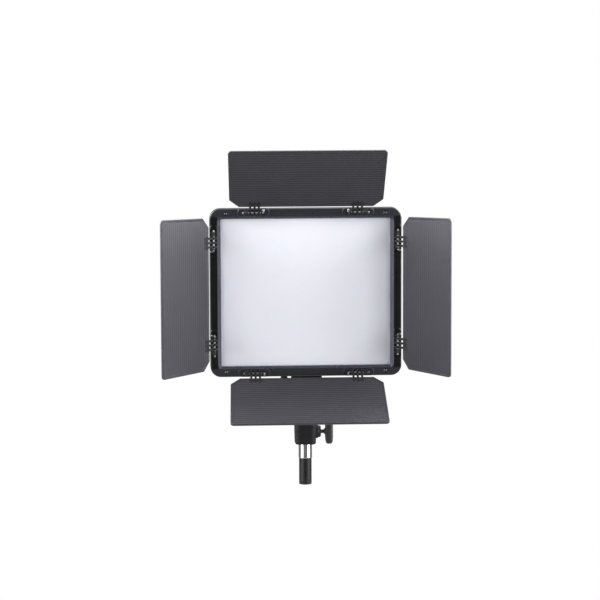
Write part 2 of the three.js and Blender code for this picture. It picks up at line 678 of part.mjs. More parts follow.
// The tilt lever and its threaded insert point to -X, so they are turned half round.
const tiltLock = new THREE.Group();
tiltLock.position.set(-EAR_LEFT - 0.4, TUBE_DEPTH, -PIVOT_DROP);
tiltLock.rotation.z = Math.PI;
head.add(tiltLock);
add(tiltLock, "tilt_lever_insert", tiltInsert(), FINISH.brass);
const tiltLever = tLever(9.2, { length: 1, radius: 4.9 }, { radius: 4.4, depth: 7.4 });
const tiltBar = add(tiltLock, "tilt_lever", tiltLever, FINISH.lever);
tiltBar.position.set(3.2, 0, 0);
tiltBar.rotation.x = radians(TILT_LEVER_START);

add(light, "receiver_body", receiverBody(), FINISH.bracket);
add(light, "pressure_pad", alongX(2.4, [6.9, 9.6], 0, CLAMP_Z, 16), FINISH.brass);
add(light, "clamp_stud", alongX(STUD_RADIUS, [9.9, 30], 0, CLAMP_Z, 16), FINISH.steel);
const clampLever = tLever(9.8, { length: 1.3, radius: 3.5 }, { radius: STUD_HOLE, depth: 6.8 });
add(light, "clamp_lever", clampLever, FINISH.lever).position.set(23.5, 0, CLAMP_Z);
add(light, "spigot", spigot(), FINISH.chrome);
add(light, "riser_tube", riserTube(), FINISH.tube);
add(light, "end_plug", endPlug(), FINISH.plug);

export default light;
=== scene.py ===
"""Looks of a small LED panel light with barn doors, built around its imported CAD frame."""

import math

import bmesh
import bpy
from mathutils import Matrix, Vector


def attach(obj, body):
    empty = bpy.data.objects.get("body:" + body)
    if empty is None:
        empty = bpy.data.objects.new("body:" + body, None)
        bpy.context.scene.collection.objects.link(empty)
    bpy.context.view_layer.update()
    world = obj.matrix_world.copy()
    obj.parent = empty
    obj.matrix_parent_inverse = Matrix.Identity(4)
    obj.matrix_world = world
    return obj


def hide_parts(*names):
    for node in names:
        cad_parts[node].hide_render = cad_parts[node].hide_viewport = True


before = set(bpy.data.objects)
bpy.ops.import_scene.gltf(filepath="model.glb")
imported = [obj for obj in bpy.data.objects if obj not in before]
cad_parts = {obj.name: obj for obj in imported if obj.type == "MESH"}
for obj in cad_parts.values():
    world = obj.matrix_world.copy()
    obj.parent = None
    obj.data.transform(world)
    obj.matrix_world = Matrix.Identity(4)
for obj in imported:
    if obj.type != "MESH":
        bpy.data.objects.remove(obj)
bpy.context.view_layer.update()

MM = 0.001
# faces that meet at more than this angle keep a sharp edge
SHARP = math.radians(38)

# ---- dimensions in millimetres, as the CAD part has them -----------------------------

HEAD = (0.0, -26.0, 232.5)
FRAME_W, FRAME_H, FRAME_D = 225.0, 198.2, 13.0
FRAME_CORNER, FRAME_EDGE, FRAME_WALL = 12.5, 1.5, 3.0
WINDOW_W, WINDOW_H, WINDOW_CORNER = 199.0, 173.8, 1.5
MOUTH_W, MOUTH_H, MOUTH_CORNER = 206.6, 179.2, 6.0
LIP_BACK = 5.5
HOUSING_W, HOUSING_H = 220.0, 193.2
HOUSING_FRONT, HOUSING_BACK, HOUSING_WALL, HOUSING_EDGE = 13.3, 46.0, 2.5, 5.0
HOUSING_CORNER = 11.0
INNER_BACK = HOUSING_BACK - HOUSING_WALL

HINGE_ALONG, HINGE_INSET, HINGE_Y = 60.0, 5.0, -4.76
FINGER_PITCH, FINGER_W = 5.1, 2.4
EYE_R, EYE_BORE, ROD_R = 3.5, 1.4, 1.1
ROD_INNER, ROD_OUTER, ROD_HOOK = 48.3, 74.4, 4.3
POSTS = ((50.9, 52.9), (67.2, 72.4))
POST_HALF, POST_TOP = 2.7, -5.06
BOSS = (42.5, 80.0)
BOSS_PROUD = 0.9

LEAF_NEAR, LEAF_FAR = 9.5, 88.0
LEAF_HALF_NEAR, LEAF_HALF_FAR = 89.3, 91.7
LEAF_T = 2.2
CHAMFER_ALONG, CHAMFER_OUT = 11.0, 9.75
# each side's turn round the head, its edge's distance from the middle, how far its leaf is opened
# forward of the frame's plane, and the names of its two hinge rods
SIDES = {
    "top": (0, FRAME_H / 2, 31.9, ("left", "right")),
    "right": (90, FRAME_W / 2, 51.8, ("upper", "lower")),
    "bottom": (180, FRAME_H / 2, 56.0, ("right", "left")),
    "left": (-90, FRAME_W / 2, 45.5, ("lower", "upper")),
}

SCREW_X, SCREW_Z, SCREW_R = 93.5, 93.2, 2.4
PANEL_Z, PANEL_W, PANEL_H = -50.0, 151.0, 43.0
PANEL_FACE = HOUSING_BACK + 0.7
DIALS = {"brightness": -58.0, "colour": -32.0}
SWITCH_X, INLET_X = 34.0, 60.0
KNOB_Y, ROCKER_Y, MARK_UP = HOUSING_BACK + 1.3, 42.6, 16.6
VENT_X, VENT_LOW, VENT_PITCH, VENTS = 46, 18, 8, 7
KNOB_START, ROCKER_TILT, TILT_LEVER_START = 135.0, 7.0, 50.0

TUBE_Y = 26.0
PIVOT = -113.0
PIVOT_Z = HEAD[2] + PIVOT
EAR_IN, EAR_LEFT, EAR_RIGHT, EAR_R = 10.6, 16.2, 19.5, 9.5
FOOT_PLATE = 6.2
TONGUE, TONGUE_R = 9.4, 9.5
CLAMP_Z, CLAMP_LEVER_X = 63.1, 23.5
LEVER_HALF, LEVER_DEPTH = 15.2, 4.4
FLOOR = -1200.0

# ---- shapes: (vertices in mm, faces) -------------------------------------------------


def merge(*shapes):
    """Several shapes as one list of vertices and faces."""
    verts, faces = [], []
    for v, f in shapes:
        base = len(verts)
        verts += v
        faces += [[i + base for i in face] for face in f]
    return verts, faces


def loft(rings, loop=False):
    """A skin over rings of equal length; closed with caps, or back on itself when loop is set."""
    n, count = len(rings[0]), len(rings)
    verts = [tuple(p) for ring in rings for p in ring]
    faces = []
    for a in range(count if loop else count - 1):
        b = (a + 1) % count
        for i in range(n):
            j = (i + 1) % n
            faces.append([a * n + i, a * n + j, b * n + j, b * n + i])
    if not loop:
        faces.append(list(range(n))[::-1])
        faces.append([(count - 1) * n + i for i in range(n)])
    return verts, faces


def outline(corners, inset, steps):
    """Closed outline from corners (u, v, radius) in turning order, each side moved in by inset."""
    pts = [Vector(c[:2]) for c in corners]
    radii = [c[2] for c in corners]
    area = sum(a.x * b.y - a.y * b.x for a, b in zip(pts, pts[1:] + pts[:1]))
    side = 1.0 if area > 0 else -1.0
    n = len(pts)
    dirs = [(pts[(i + 1) % n] - pts[i]).normalized() for i in range(n)]
    ring = []
    for i in range(n):
        before, after = dirs[i - 1], dirs[i]
        cross = before.x * after.y - before.y * after.x
        turn = math.atan2(cross, before.dot(after))
        convex = side * turn > 0
        half = abs(turn) / 2
        shift = side * inset
        normal = Vector((-(before.y + after.y), before.x + after.x))
        normal = normal / max(normal.length, 1e-9)
        corner = pts[i] + normal * (shift / math.cos(half))
        radius = max(radii[i] - inset, 0.02) if convex else radii[i] + inset
        reach = radius * math.tan(half)
        start = corner - before * reach
        bend = 1.0 if turn > 0 else -1.0
        centre = start + Vector((-before.y, before.x)) * (radius * bend)
        spoke = start - centre
        for k in range(steps + 1):
            a = turn * k / steps
            ring.append((
                centre.x + spoke.x * math.cos(a) - spoke.y * math.sin(a),
                centre.y + spoke.x * math.sin(a) + spoke.y * math.cos(a),
            ))
    return ring


def rect(width, height, radius, u=0.0, v=0.0):
    """Corners of a rounded rectangle, anticlockwise."""
    a, b = width / 2, height / 2
    return [(u + i * a, v + k * b, radius) for i, k in ((1, -1), (1, 1), (-1, 1), (-1, -1))]


def at_y(points, y):
    """Points (u, v) laid at depth y, with u across and v up."""
    return [(u, y, v) for u, v in points]


def quarter(edge, steps):
    """(inset, depth) pairs of a quarter round from the end face to the side."""
    angles = [k / steps * math.pi / 2 for k in range(steps + 1)]
    return [(edge * (1 - math.sin(a)), edge * (1 - math.cos(a))) for a in angles]


def plate(corners, front, back, edge, steps, soft=3, back_edge=None):
    """An outline in u and v, filled from front to back along y with rounded edges at both ends."""
    rear = edge if back_edge is None else back_edge
    rings = [at_y(outline(corners, i, steps), front + d) for i, d in quarter(edge, soft)]
    rings += [at_y(outline(corners, i, steps), back - d) for i, d in reversed(quarter(rear, soft))]
    return loft(rings)


def turned(profile, sides, loop=False):
    """A piece turned round z from (radius, z) pairs."""
    rings = []
    for r, z in profile:
        r = max(r, 0.01)
        rings.append([
            (r * math.cos(2 * math.pi * k / sides), r * math.sin(2 * math.pi * k / sides), z)
            for k in range(sides)
        ])
    return loft(rings, loop)


def axes(shape, order):
    """The shape with its coordinates in another order: 'zyx' lays a turned piece along x."""
    pick = ["xyz".index(c) for c in order]
    return [tuple(v[i] for i in pick) for v in shape[0]], shape[1]


def moved(shape, matrix):
    return [tuple(matrix @ Vector(v)) for v in shape[0]], shape[1]


def shifted(shape, x, y, z):
    return moved(shape, Matrix.Translation((x, y, z)))


def sweep(path, radius):
    """A round wire along a flat path, with slightly rounded ends."""
    sides = 16
    pts = [Vector(p) for p in path]
    rings = []
    for i, p in enumerate(pts):
        ahead = (pts[min(i + 1, len(pts) - 1)] - pts[max(i - 1, 0)]).normalized()
        across = Vector((0, 1, 0))
        other = ahead.cross(across).normalized()
        sizes = [(0, radius)]
        if i == 0:
            sizes = [(0, radius * 0.55), (radius * 0.18, radius * 0.85), (radius * 0.45, radius)]
        if i == len(pts) - 1:
            sizes = [(-radius * 0.45, radius), (-radius * 0.18, radius * 0.85), (0, radius * 0.55)]
        for offset, r in sizes:
            rings.append([
                tuple(p + ahead * offset + (across * math.cos(a) + other * math.sin(a)) * r)
                for a in (2 * math.pi * k / sides for k in range(sides))
            ])
    return loft(rings)


# ---- objects -------------------------------------------------------------------------


def make(name, shape, place=None):
    """A mesh object from a shape, its faces turned outwards, placed by a matrix in mm."""
    mesh = bpy.data.meshes.new(name)
    mesh.from_pydata([tuple(c * MM for c in v) for v in shape[0]], [], shape[1])
    work = bmesh.new()
    work.from_mesh(mesh)
    bmesh.ops.remove_doubles(work, verts=work.verts, dist=2e-7)
    bmesh.ops.recalc_face_normals(work, faces=work.faces)
    work.to_mesh(mesh)
    work.free()
    mesh.shade_smooth()
    mesh.set_sharp_from_angle(angle=SHARP)
    obj = bpy.data.objects.new(name, mesh)
    bpy.context.scene.collection.objects.link(obj)
    if place is not None:
        placed = place.copy()
        placed.translation = placed.translation * MM
        obj.matrix_world = placed
    bpy.context.view_layer.update()
    return obj


def cut(obj, *tools):
    """Cuts the tool shapes out of an object; the tools must not touch each other."""
    tool = make(obj.name + "_tool", merge(*tools), obj_place(obj))
    step = obj.modifiers.new("cut", "BOOLEAN")
    step.operation = "DIFFERENCE"
    step.solver = "EXACT"
    step.object = tool
    bpy.context.view_layer.update()
    solved = obj.evaluated_get(bpy.context.evaluated_depsgraph_get())
    result = bpy.data.meshes.new_from_object(solved)
    obj.modifiers.clear()
    obj.data = result
    result.name = obj.name
    bpy.data.objects.remove(tool)
    result.shade_smooth()
    result.set_sharp_from_angle(angle=SHARP)


def obj_place(obj):
    """The object's placing as a matrix in mm."""
    placed = obj.matrix_world.copy()
    placed.translation = placed.translation / MM
    return placed


def soften(obj, width):
    """Rounds the sharp edges by width mm."""
    bevel = obj.modifiers.new("edges", "BEVEL")
    bevel.width = width * MM
    bevel.segments = 2
    bevel.limit_method = "ANGLE"
    bevel.angle_limit = math.radians(40)
    bevel.harden_normals = True
    bevel.use_clamp_overlap = True


def dress(obj, finish, body, slot, *nodes):
    """Gives a new piece its finish and body and hides the CAD nodes it stands for; slot is not
    used.
    """
    obj.data.materials.clear()
    obj.data.materials.append(MATERIALS[finish])
    flat = obj.modifiers.new("normals", "WEIGHTED_NORMAL")
    flat.keep_sharp = True
    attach(obj, body)
    if nodes:
        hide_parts(*nodes)


HEAD_PLACE = Matrix.Translation(HEAD)


def on_head(x, y, z):
    """A place given from the middle of the frame's front."""
    return HEAD_PLACE @ Matrix.Translation((x, y, z))


def spin(axis, degrees):
    return Matrix.Rotation(math.radians(degrees), 4, axis)


# ---- materials -----------------------------------------------------------------------


class Nodes:
    """Short names for building one node material."""

    def __init__(self, name):
        self.material = bpy.data.materials.new(name)
        self.material.use_nodes = True
        self.tree = self.material.node_tree
        self.tree.nodes.clear()
        self.out = self.add("ShaderNodeOutputMaterial")
        self.shader = self.add("ShaderNodeBsdfPrincipled")
        self.link(self.shader.outputs[0], self.out.inputs["Surface"])
        self.where = self.add("ShaderNodeTexCoord").outputs["Object"]
        split = self.add("ShaderNodeSeparateXYZ")
        self.link(self.where, split.inputs[0])
        self.x, self.y, self.z = split.outputs

    def add(self, kind, **values):
        node = self.tree.nodes.new(kind)
        for key, value in values.items():
            setattr(node, key, value)
        return node

    def link(self, value, socket):
        """Feeds the socket from another node's output, or sets it to a plain value."""
        if isinstance(value, bpy.types.NodeSocket):
            self.tree.links.new(value, socket)
        else:
            socket.default_value = value

    def made(self, kind, inputs):
        """A new node with its named inputs filled; gives its first output."""
        node = self.add(kind)
        for key, value in inputs.items():
            self.link(value, node.inputs[key])
        return node.outputs[0]

    def stretched(self, x, y, z):
        return self.made("ShaderNodeMapping", {"Vector": self.where, "Scale": (x, y, z)})

    def noise(self, scale, detail=3.0, rough=0.55, vector=None):
        return self.made("ShaderNodeTexNoise", {"Vector": vector or self.where, "Scale": scale,
                                                "Detail": detail, "Roughness": rough})

    def ramp(self, value, *stops):
        node = self.add("ShaderNodeValToRGB")
        ramp = node.color_ramp
        while len(ramp.elements) < len(stops):
            ramp.elements.new(0.5)
        for element, (place, colour) in zip(ramp.elements, stops):
            element.position = place
            element.color = (*colour, 1.0)
        self.link(value, node.inputs[0])
        return node.outputs[0]

    def span(self, value, low, high, from_low=0.3, from_high=0.7):
        """The value brought from its own range to low..high, and held there beyond it."""
        return self.made("ShaderNodeMapRange", {"Value": value, "To Min": low, "To Max": high,
                                                "From Min": from_low, "From Max": from_high})

    def calc(self, operation, *values):
        """A maths node; each value is a number or another node's output."""
        node = self.add("ShaderNodeMath", operation=operation)
        for value, socket in zip(values, node.inputs):
            self.link(value, socket)
        return node.outputs[0]

    def sum(self, *weighted):
        """The sum of (value, weight) pairs."""
        total = 0.0
        for value, weight in weighted:
            total = self.calc("MULTIPLY_ADD", value, weight, total)
        return total

    def bump(self, height, distance):
        relief = {"Strength": 1.0, "Distance": distance, "Height": height}
        self.set(Normal=self.made("ShaderNodeBump", relief))

    def set(self, **values):
        """Inputs of the surface, each with a plain value or an output."""
        for key, value in values.items():
            self.link(value, self.shader.inputs[key.replace("_", " ")])


LEAF_RIM, LEAF_FIELD = 2.6, 0.45
RIB_PITCH, RIBS = 3.2, 22
# a rib's cross-section: (distance from its middle, rise)
RIB = ((-1.5, 0.0), (-1.1, 0.02), (-0.6, 0.07), (0.0, 0.09), (0.6, 0.07), (1.1, 0.02), (1.5, 0.0))


def first_rib():
    """Distance of the innermost rib of a leaf from its hinge axis."""
    return (LEAF_NEAR + LEAF_FAR - (RIBS - 1) * RIB_PITCH) / 2


def tint(colour, factor):
    """The colour made lighter or darker."""
    return tuple(min(1.0, c * factor) for c in colour)


def moulded(name, colour, rough, grain, depth, specular=0.5):
    """Moulded plastic: spark-eroded grain, a slow drift of tone and faint handling marks."""
    m = Nodes(name)
    tone = m.sum((m.noise(22.0, 2.0), 0.6), (m.noise(260.0, 3.0), 0.4))
    shade = m.ramp(tone, (0.30, tint(colour, 0.80)), (0.52, colour), (0.72, tint(colour, 1.30)))
    m.set(Base_Color=shade, Roughness=m.span(m.noise(55.0, 4.0, 0.65), *rough),
          Specular_IOR_Level=specular)
    m.bump(m.sum((m.noise(grain, 2.0), 0.7), (m.noise(grain * 0.35, 2.0), 0.5)), depth)
    return m.material


def frame_finish(name, colour, bar_sheen, slope_reflection):
    """Moulded frame plastic: painted sheen on the top and bottom bar, painted bluish reflection in
    the mouth.
    """
    m = Nodes(name)
    across, up = m.calc("ABSOLUTE", m.x), m.calc("ABSOLUTE", m.z)
    mouth_x, mouth_z = MOUTH_W / 2 * MM, MOUTH_H / 2 * MM
    # both change over within 1 or 2 mm of the mouth's edge
    # painted sheen: the top and bottom bar get a lighter colour for the light they catch from above
    # and below
    bar = m.span(up, 0.0, 1.0, mouth_z - 0.0011, mouth_z + 0.0009)
    # painted reflection: the sloped edge inside the mouth gets a lighter bluish colour, like the
    # lit opal it faces
    slope_reflection_mask = m.calc("MULTIPLY", m.span(across, 1.0, 0.0, mouth_x - 0.0008, mouth_x + 0.0007),
                 m.span(up, 1.0, 0.0, mouth_z - 0.0011, mouth_z + 0.0004))
    tone = m.sum((m.noise(22.0, 2.0), 0.18), (m.noise(260.0, 3.0), 0.12), (bar, 0.4), (slope_reflection_mask, 0.75))
    shade = m.ramp(tone, (0.10, tint(colour, 0.8)), (0.22, tint(colour, 1.3)), (0.48, bar_sheen),
                   (0.62, tint(bar_sheen, 1.2)), (0.84, slope_reflection), (0.98, tint(slope_reflection, 1.1)))
    m.set(Base_Color=shade, Roughness=m.span(m.noise(55.0, 4.0, 0.65), 0.25, 0.36),
          Specular_IOR_Level=0.36)
    m.bump(m.sum((m.noise(3200.0, 2.0), 0.7), (m.noise(1100.0, 2.0), 0.5)), 4e-5)
    return m.material


def leaf_finish(name, colour):
    """Barn-door leaf: satin black with a fine grain along the ribs and a slight violet cast."""
    m = Nodes(name)
    drawn = m.noise(1.0, 4.0, 0.6, m.stretched(30.0, 1500.0, 1500.0))
    turn = 2 * math.pi / RIB_PITCH
    phase = m.calc("MULTIPLY_ADD", m.z, turn / MM, -turn * first_rib())
    # painted shade: the colour is darker between the ribs, which only the inner face has; there it
    # is also duller
    between = m.span(m.calc("COSINE", phase), 1.0, 0.0, -0.9, 0.5)
    groove = m.calc("MULTIPLY", between, m.span(m.y, 1.0, 0.0, -0.4 * MM, -0.1 * MM))
    # the groove term darkens the colour here as painted shade between the ribs
    tone = m.sum((m.noise(14.0, 3.0), 0.6), (drawn, 0.15), (groove, -0.30))
    wear = m.sum((drawn, 0.2), (m.noise(40.0, 4.0), 0.3), (groove, 0.6))
    shade = m.ramp(tone, (0.0, tint(colour, 0.35)), (0.38, colour), (0.55, tint(colour, 1.15)))
    m.set(Base_Color=shade, Roughness=m.span(wear, 0.28, 0.50, 0.1, 0.9),
          Specular_IOR_Level=0.6, Specular_Tint=(0.92, 0.90, 1.0, 1.0))
    m.bump(m.sum((drawn, 0.2), (m.noise(4200.0, 2.0), 0.4)), 2e-5)
    return m.material


def metal(name, colour, rough, stretch, depth=6e-6):
    """Bare metal with fine drawn or turned lines and slightly uneven polish."""
    m = Nodes(name)
    lines = m.noise(1.0, 3.0, 0.6, m.stretched(*stretch))
    wear = m.sum((lines, 0.5), (m.noise(160.0, 4.0), 0.5))
    shade = m.ramp(lines, (0.25, tint(colour, 0.86)), (0.75, tint(colour, 1.10)))
    m.set(Base_Color=shade, Roughness=m.span(wear, *rough), Metallic=1.0)
    m.bump(lines, depth)
    return m.material


def opal_finish(name):
    """Frosted opal sheet: lavender white, a fine matt tooth and painted shade falling off to its
    edges.
    """
    m = Nodes(name)
    half = WINDOW_W / 2 * MM + 0.003
    up = m.calc("SUBTRACT", m.z, HEAD[2] * MM)
    # painted shade: darker towards the sides, most at the right edge, darker from left to right and
    # at the foot, lighter near the head
    sides = m.span(m.calc("ABSOLUTE", m.x), 0.0, 1.0, 0.015, 0.100)
    right = m.span(m.x, 0.0, 1.0, 0.070, half)
    drift = m.span(m.x, -0.09, 0.09, -half, half)
    head = m.span(up, 0.27, 0.15, 0.020, 0.065)
    base = m.span(up, 0.05, 0.0, -0.085, -0.050)
    tone = m.sum((sides, 0.28), (right, 0.27), (head, 1.0), (base, 1.0), (drift, 1.0),
                 (m.noise(30.0, 3.0), 0.06))
    m.set(Base_Color=m.ramp(tone, (0.0, (0.86, 0.86, 0.925)), (1.0, (0.54, 0.548, 0.605))),
          Roughness=m.span(m.noise(90.0, 3.0), 0.42, 0.55),
          Subsurface_Weight=0.15, Subsurface_Scale=0.002)
    m.bump(m.noise(3500.0, 2.0), 2e-5)
    return m.material


def display_finish(name):
    """Dark display glass with the faint dot grid of an unlit panel under it."""
    m = Nodes(name)
    dots = m.add("ShaderNodeTexVoronoi", feature="F1", distance="CHEBYCHEV")
    dots.inputs["Scale"].default_value = 1800.0
    dots.inputs["Randomness"].default_value = 0.0
    m.link(m.where, dots.inputs["Vector"])
    glass = m.ramp(dots.outputs["Distance"], (0.25, (0.018, 0.021, 0.026)),
                   (0.5, (0.007, 0.008, 0.011)))
    m.set(Base_Color=glass, Roughness=m.span(m.noise(120.0, 3.0), 0.05, 0.13),
          Coat_Weight=0.6, Coat_Roughness=0.04)
    m.bump(m.noise(60.0, 2.0), 4e-6)
    return m.material


def board_finish(name):
    """Green solder mask with copper tracks showing through and a weave in the laminate."""
    m = Nodes(name)
    # the pattern is drawn in x and y, so y and z are changed over
    upright = m.made("ShaderNodeCombineXYZ", {"X": m.x, "Y": m.z, "Z": m.y})
    tracks = m.add("ShaderNodeTexBrick")
    for key, value in (("Vector", upright), ("Scale", 160.0), ("Mortar Size", 0.08),
                       ("Color1", (0.016, 0.12, 0.05, 1.0)), ("Color2", (0.020, 0.15, 0.06, 1.0)),
                       ("Mortar", (0.05, 0.22, 0.09, 1.0))):
        m.link(value, tracks.inputs[key])
    m.set(Base_Color=tracks.outputs["Color"], Roughness=m.span(m.noise(200.0), 0.25, 0.4))
    m.bump(tracks.outputs["Fac"], 3e-5)
    return m.material


MATERIALS = {
    # the frame's own black, then painted sheen for the top and bottom bar and painted bluish
    # reflection for the mouth's edge
    "frame": frame_finish("frame_black", (0.0022, 0.0022, 0.0026), (0.0190, 0.0195, 0.0235),
                          (0.028, 0.031, 0.050)),
    "leaf": leaf_finish("leaf_black", (0.0198, 0.0193, 0.0240)),
    # the knuckles are the leaf's plastic, darker and duller: the duller finish is their own, the
    # darker colour is partly painted shade
    "knuckle": moulded("knuckle_black", (0.0110, 0.0105, 0.0120), (0.46, 0.60), 2600.0, 4e-5, 0.3),
    "housing": moulded("housing_black", (0.0170, 0.0170, 0.0185), (0.46, 0.60), 2600.0, 6e-5),
    "bracket": moulded("bracket_black", (0.0108, 0.0104, 0.0118), (0.58, 0.72), 2400.0, 6e-5, 0.2),
    "lever": moulded("lever_black", (0.0230, 0.0235, 0.0220), (0.34, 0.46), 2800.0, 3e-5),
    "knob": moulded("knob_black", (0.0140, 0.0140, 0.0150), (0.36, 0.48), 3600.0, 3e-5),
    "panel": moulded("panel_black", (0.0090, 0.0090, 0.0100), (0.22, 0.34), 4200.0, 1e-5),
    "soft": moulded("soft_black", (0.0150, 0.0150, 0.0150), (0.62, 0.78), 2200.0, 5e-5, 0.35),
    "white": moulded("reflector_white", (0.80, 0.80, 0.79), (0.45, 0.6), 1800.0, 2e-5),
    "ink": moulded("panel_ink", (0.62, 0.62, 0.60), (0.5, 0.6), 4200.0, 4e-6),
    "tube": moulded("tube_paint", (0.0125, 0.0115, 0.0125), (0.34, 0.46), 1500.0, 3e-5, 0.24),
    "opal": opal_finish("opal_sheet"),
    "display": display_finish("display_glass"),
    "circuit": board_finish("solder_mask"),
    "chrome": metal("chrome_plate", (0.78, 0.79, 0.81), (0.075, 0.095), (60.0, 60.0, 300.0), 2e-7),
    "steel": metal("hinge_wire", (0.235, 0.235, 0.23), (0.24, 0.34), (1200.0, 1200.0, 1200.0)),
    "oxide": metal("black_oxide", (0.30, 0.30, 0.31), (0.20, 0.30), (700.0, 700.0, 700.0)),
    "aluminium": metal("mill_aluminium", (0.60, 0.61, 0.62), (0.32, 0.46), (40.0, 900.0, 900.0)),
    "brass": metal("turned_brass", (0.60, 0.44, 0.19), (0.22, 0.36), (900.0, 60.0, 60.0)),
}

# ---- front frame ---------------------------------------------------------------------

OUTER = rect(FRAME_W, FRAME_H, FRAME_CORNER)
THROAT = rect(WINDOW_W, WINDOW_H, WINDOW_CORNER)
MOUTH = rect(MOUTH_W, MOUTH_H, MOUTH_CORNER)
CORNERS = ((-1, 1, "top_left"), (1, 1, "top_right"), (-1, -1, "bottom_left"),
           (1, -1, "bottom_right"))


def span_of(sign, low, high):
    """The span from low to high, or its mirror image."""
    return (low, high) if sign > 0 else (-high, -low)


def saddle(half, foot, top, axis, bore):
    """Corners of a post with an open round groove for the wire; its top is towards lower v."""
    start = math.asin((top - axis) / bore)
    groove = [(bore * math.cos(a), axis + bore * math.sin(a), 0.02)
              for a in (start - (math.pi + 2 * start) * k / 10 for k in range(11))]
    left, right = ([(x, foot, 0.05), (x, top, 0.5)] for x in (-half, half))
    return left + groove[::-1] + right[::-1]


def hinge_seat(reach, sign):
    """The boss and the two rod posts of one hinge, on the top side of the frame."""
    axis = reach - HINGE_INSET
    near, far = span_of(sign, *BOSS)
    pad = rect(far - near, 9.3, 4.2, (near + far) / 2, reach - 4.75)
    pad = plate(pad, -BOSS_PROUD, 6, 0.85, 8, 4, 0.3)
    shapes = [pad]
    for post in POSTS:
        low, high = span_of(sign, *post)
        block = plate(saddle(POST_HALF, 1.5, POST_TOP, HINGE_Y, EYE_BORE), low, high, 0.02, 3, 1)
        # the saddle is drawn across z and along y, and filled along x
        shapes.append(shifted(axes(block, "yzx"), 0, 0, axis))
    return merge(*shapes)


def frame_moulding():
    """The frame's shell with its screw recesses, hinge seats and the pillars round the screws."""

    def ring(corners, inset, y):
        return at_y(outline(corners, inset, 12), y)

    rings = [ring(OUTER, 0.25, FRAME_D), ring(OUTER, 0.0, FRAME_D - 0.25)]
    rings += [ring(OUTER, i, d) for i, d in reversed(quarter(FRAME_EDGE, 6))]
    rings += [ring(MOUTH, -0.3, 0.0), ring(MOUTH, -0.05, 0.08), ring(MOUTH, 0.15, 0.25)]
    rings += [ring(THROAT, -0.15, 3.05), ring(THROAT, 0.0, 3.3), ring(THROAT, 0.0, LIP_BACK)]
    rings += [ring(OUTER, FRAME_WALL, LIP_BACK), ring(OUTER, FRAME_WALL, FRAME_D)]
    obj = make("front_frame_moulding", loft(rings, loop=True), HEAD_PLACE)
    recess = []
    r = SCREW_R + 0.3
    tool = [(r + 0.72, -1.0), (r + 0.72, 0.0), (r, 0.45), (r, 3.3), (1.9, 3.3), (1.9, 7.0)]
    tool = turned(tool, 40)
    for i, k, _ in CORNERS:
        recess.append(shifted(axes(tool, "xzy"), i * SCREW_X, 0, k * SCREW_Z))
    cut(obj, *recess)
    extra = []
    for turn, reach, _, _ in SIDES.values():
        for sign in (-1, 1):
            extra.append(moved(hinge_seat(reach, sign), spin("Y", turn)))
    pillar = turned([(1.9, 5.3), (4.0, 5.3), (4.0, 12.8), (1.9, 12.8)], 32, True)
    for i, k, _ in CORNERS:
        extra.append(shifted(axes(pillar, "xzy"), i * SCREW_X, 0, k * SCREW_Z))
    seats = make("front_frame_seats", merge(*extra), HEAD_PLACE)
    dress(join_meshes(obj, seats), "frame", "head", "frame_plastic", "front_frame")


def join_meshes(first, *others):
    """Adds the others' meshes, all placed alike, to the first object."""
    work = bmesh.new()
    work.from_mesh(first.data)
    for other in others:
        work.from_mesh(other.data)
        bpy.data.objects.remove(other)
    work.to_mesh(first.data)
    work.free()
    first.data.shade_smooth()
    first.data.set_sharp_from_angle(angle=SHARP)
    return first


def corner_screws():
    """Pan-head screws with a cross recess; only the head and a little shank are made."""
    dome = [(0.01, 0.9), (0.8, 0.94), (1.4, 1.1), (1.9, 1.42), (2.2, 1.8), (SCREW_R, 2.3),
            (SCREW_R, 2.95), (1.5, 3.0), (1.5, 24.0), (0.9, 25.0), (0.01, 25.0)]
    for i, k, where in CORNERS:
        place = on_head(i * SCREW_X, 0, k * SCREW_Z) @ spin("Y", 25 * i + 40 * k)
        obj = make("screw_" + where, axes(turned(dome, 40), "xzy"), place)
        slot = plate([(-1.5, -0.33, 0.1), (1.5, -0.33, 0.1), (1.5, 0.33, 0.1), (-1.5, 0.33, 0.1)],
                     0.0, 2.0, 0.02, 2, 1)
        cut(obj, slot)
        cut(obj, moved(slot, spin("Y", 90)))
        dress(obj, "oxide", "head", "black_steel", "corner_screw_" + where)


def hinge_rods():
    """Plain steel wire through the eyes, bent outwards at its inner end."""
    for side, (turn, reach, _, ends) in SIDES.items():
        for sign, end in zip((-1, 1), ends):
            axis = reach - HINGE_INSET
            bend, r = ROD_INNER + ROD_R, 1.6
            path = [(ROD_OUTER, axis), (70.0, axis), (60.0, axis), (bend + r, axis)]
            path += [(bend + r - r * math.sin(a), axis + r - r * math.cos(a))
                     for a in (math.pi / 2 * s / 6 for s in range(1, 7))]
            path += [(bend, axis + 3.0), (bend, axis + ROD_HOOK)]
            wire = sweep([(sign * x, HINGE_Y, z) for x, z in path], ROD_R)
            obj = make(f"rod_{side}_{end}", wire, HEAD_PLACE @ spin("Y", turn))
            dress(obj, "steel", "head", "steel", f"hinge_rod_{side}_{end}")


# ---- barn doors ----------------------------------------------------------------------


def leaf_corners():
    """A leaf's outline, x across and z away from its hinge, with both inner corners cut off."""
    slant = (LEAF_HALF_FAR - LEAF_HALF_NEAR) / (LEAF_FAR - LEAF_NEAR)
    shoulder = LEAF_HALF_NEAR + slant * CHAMFER_OUT
    inner = LEAF_HALF_NEAR - CHAMFER_ALONG
    half = [(inner, LEAF_NEAR, 1.5), (shoulder, LEAF_NEAR + CHAMFER_OUT, 2.0),
            (LEAF_HALF_FAR, LEAF_FAR, 4.0)]
    return half + [(-x, z, radius) for x, z, radius in reversed(half)]


def half_width(points, z):
    """Largest x of a convex outline at height z, which is inside it."""
    return max(x0 + (x1 - x0) * (z - z0) / (z1 - z0)
               for (x0, z0), (x1, z1) in zip(points, points[1:] + points[:1])
               if min(z0, z1) <= z <= max(z0, z1) and abs(z1 - z0) > 1e-6)


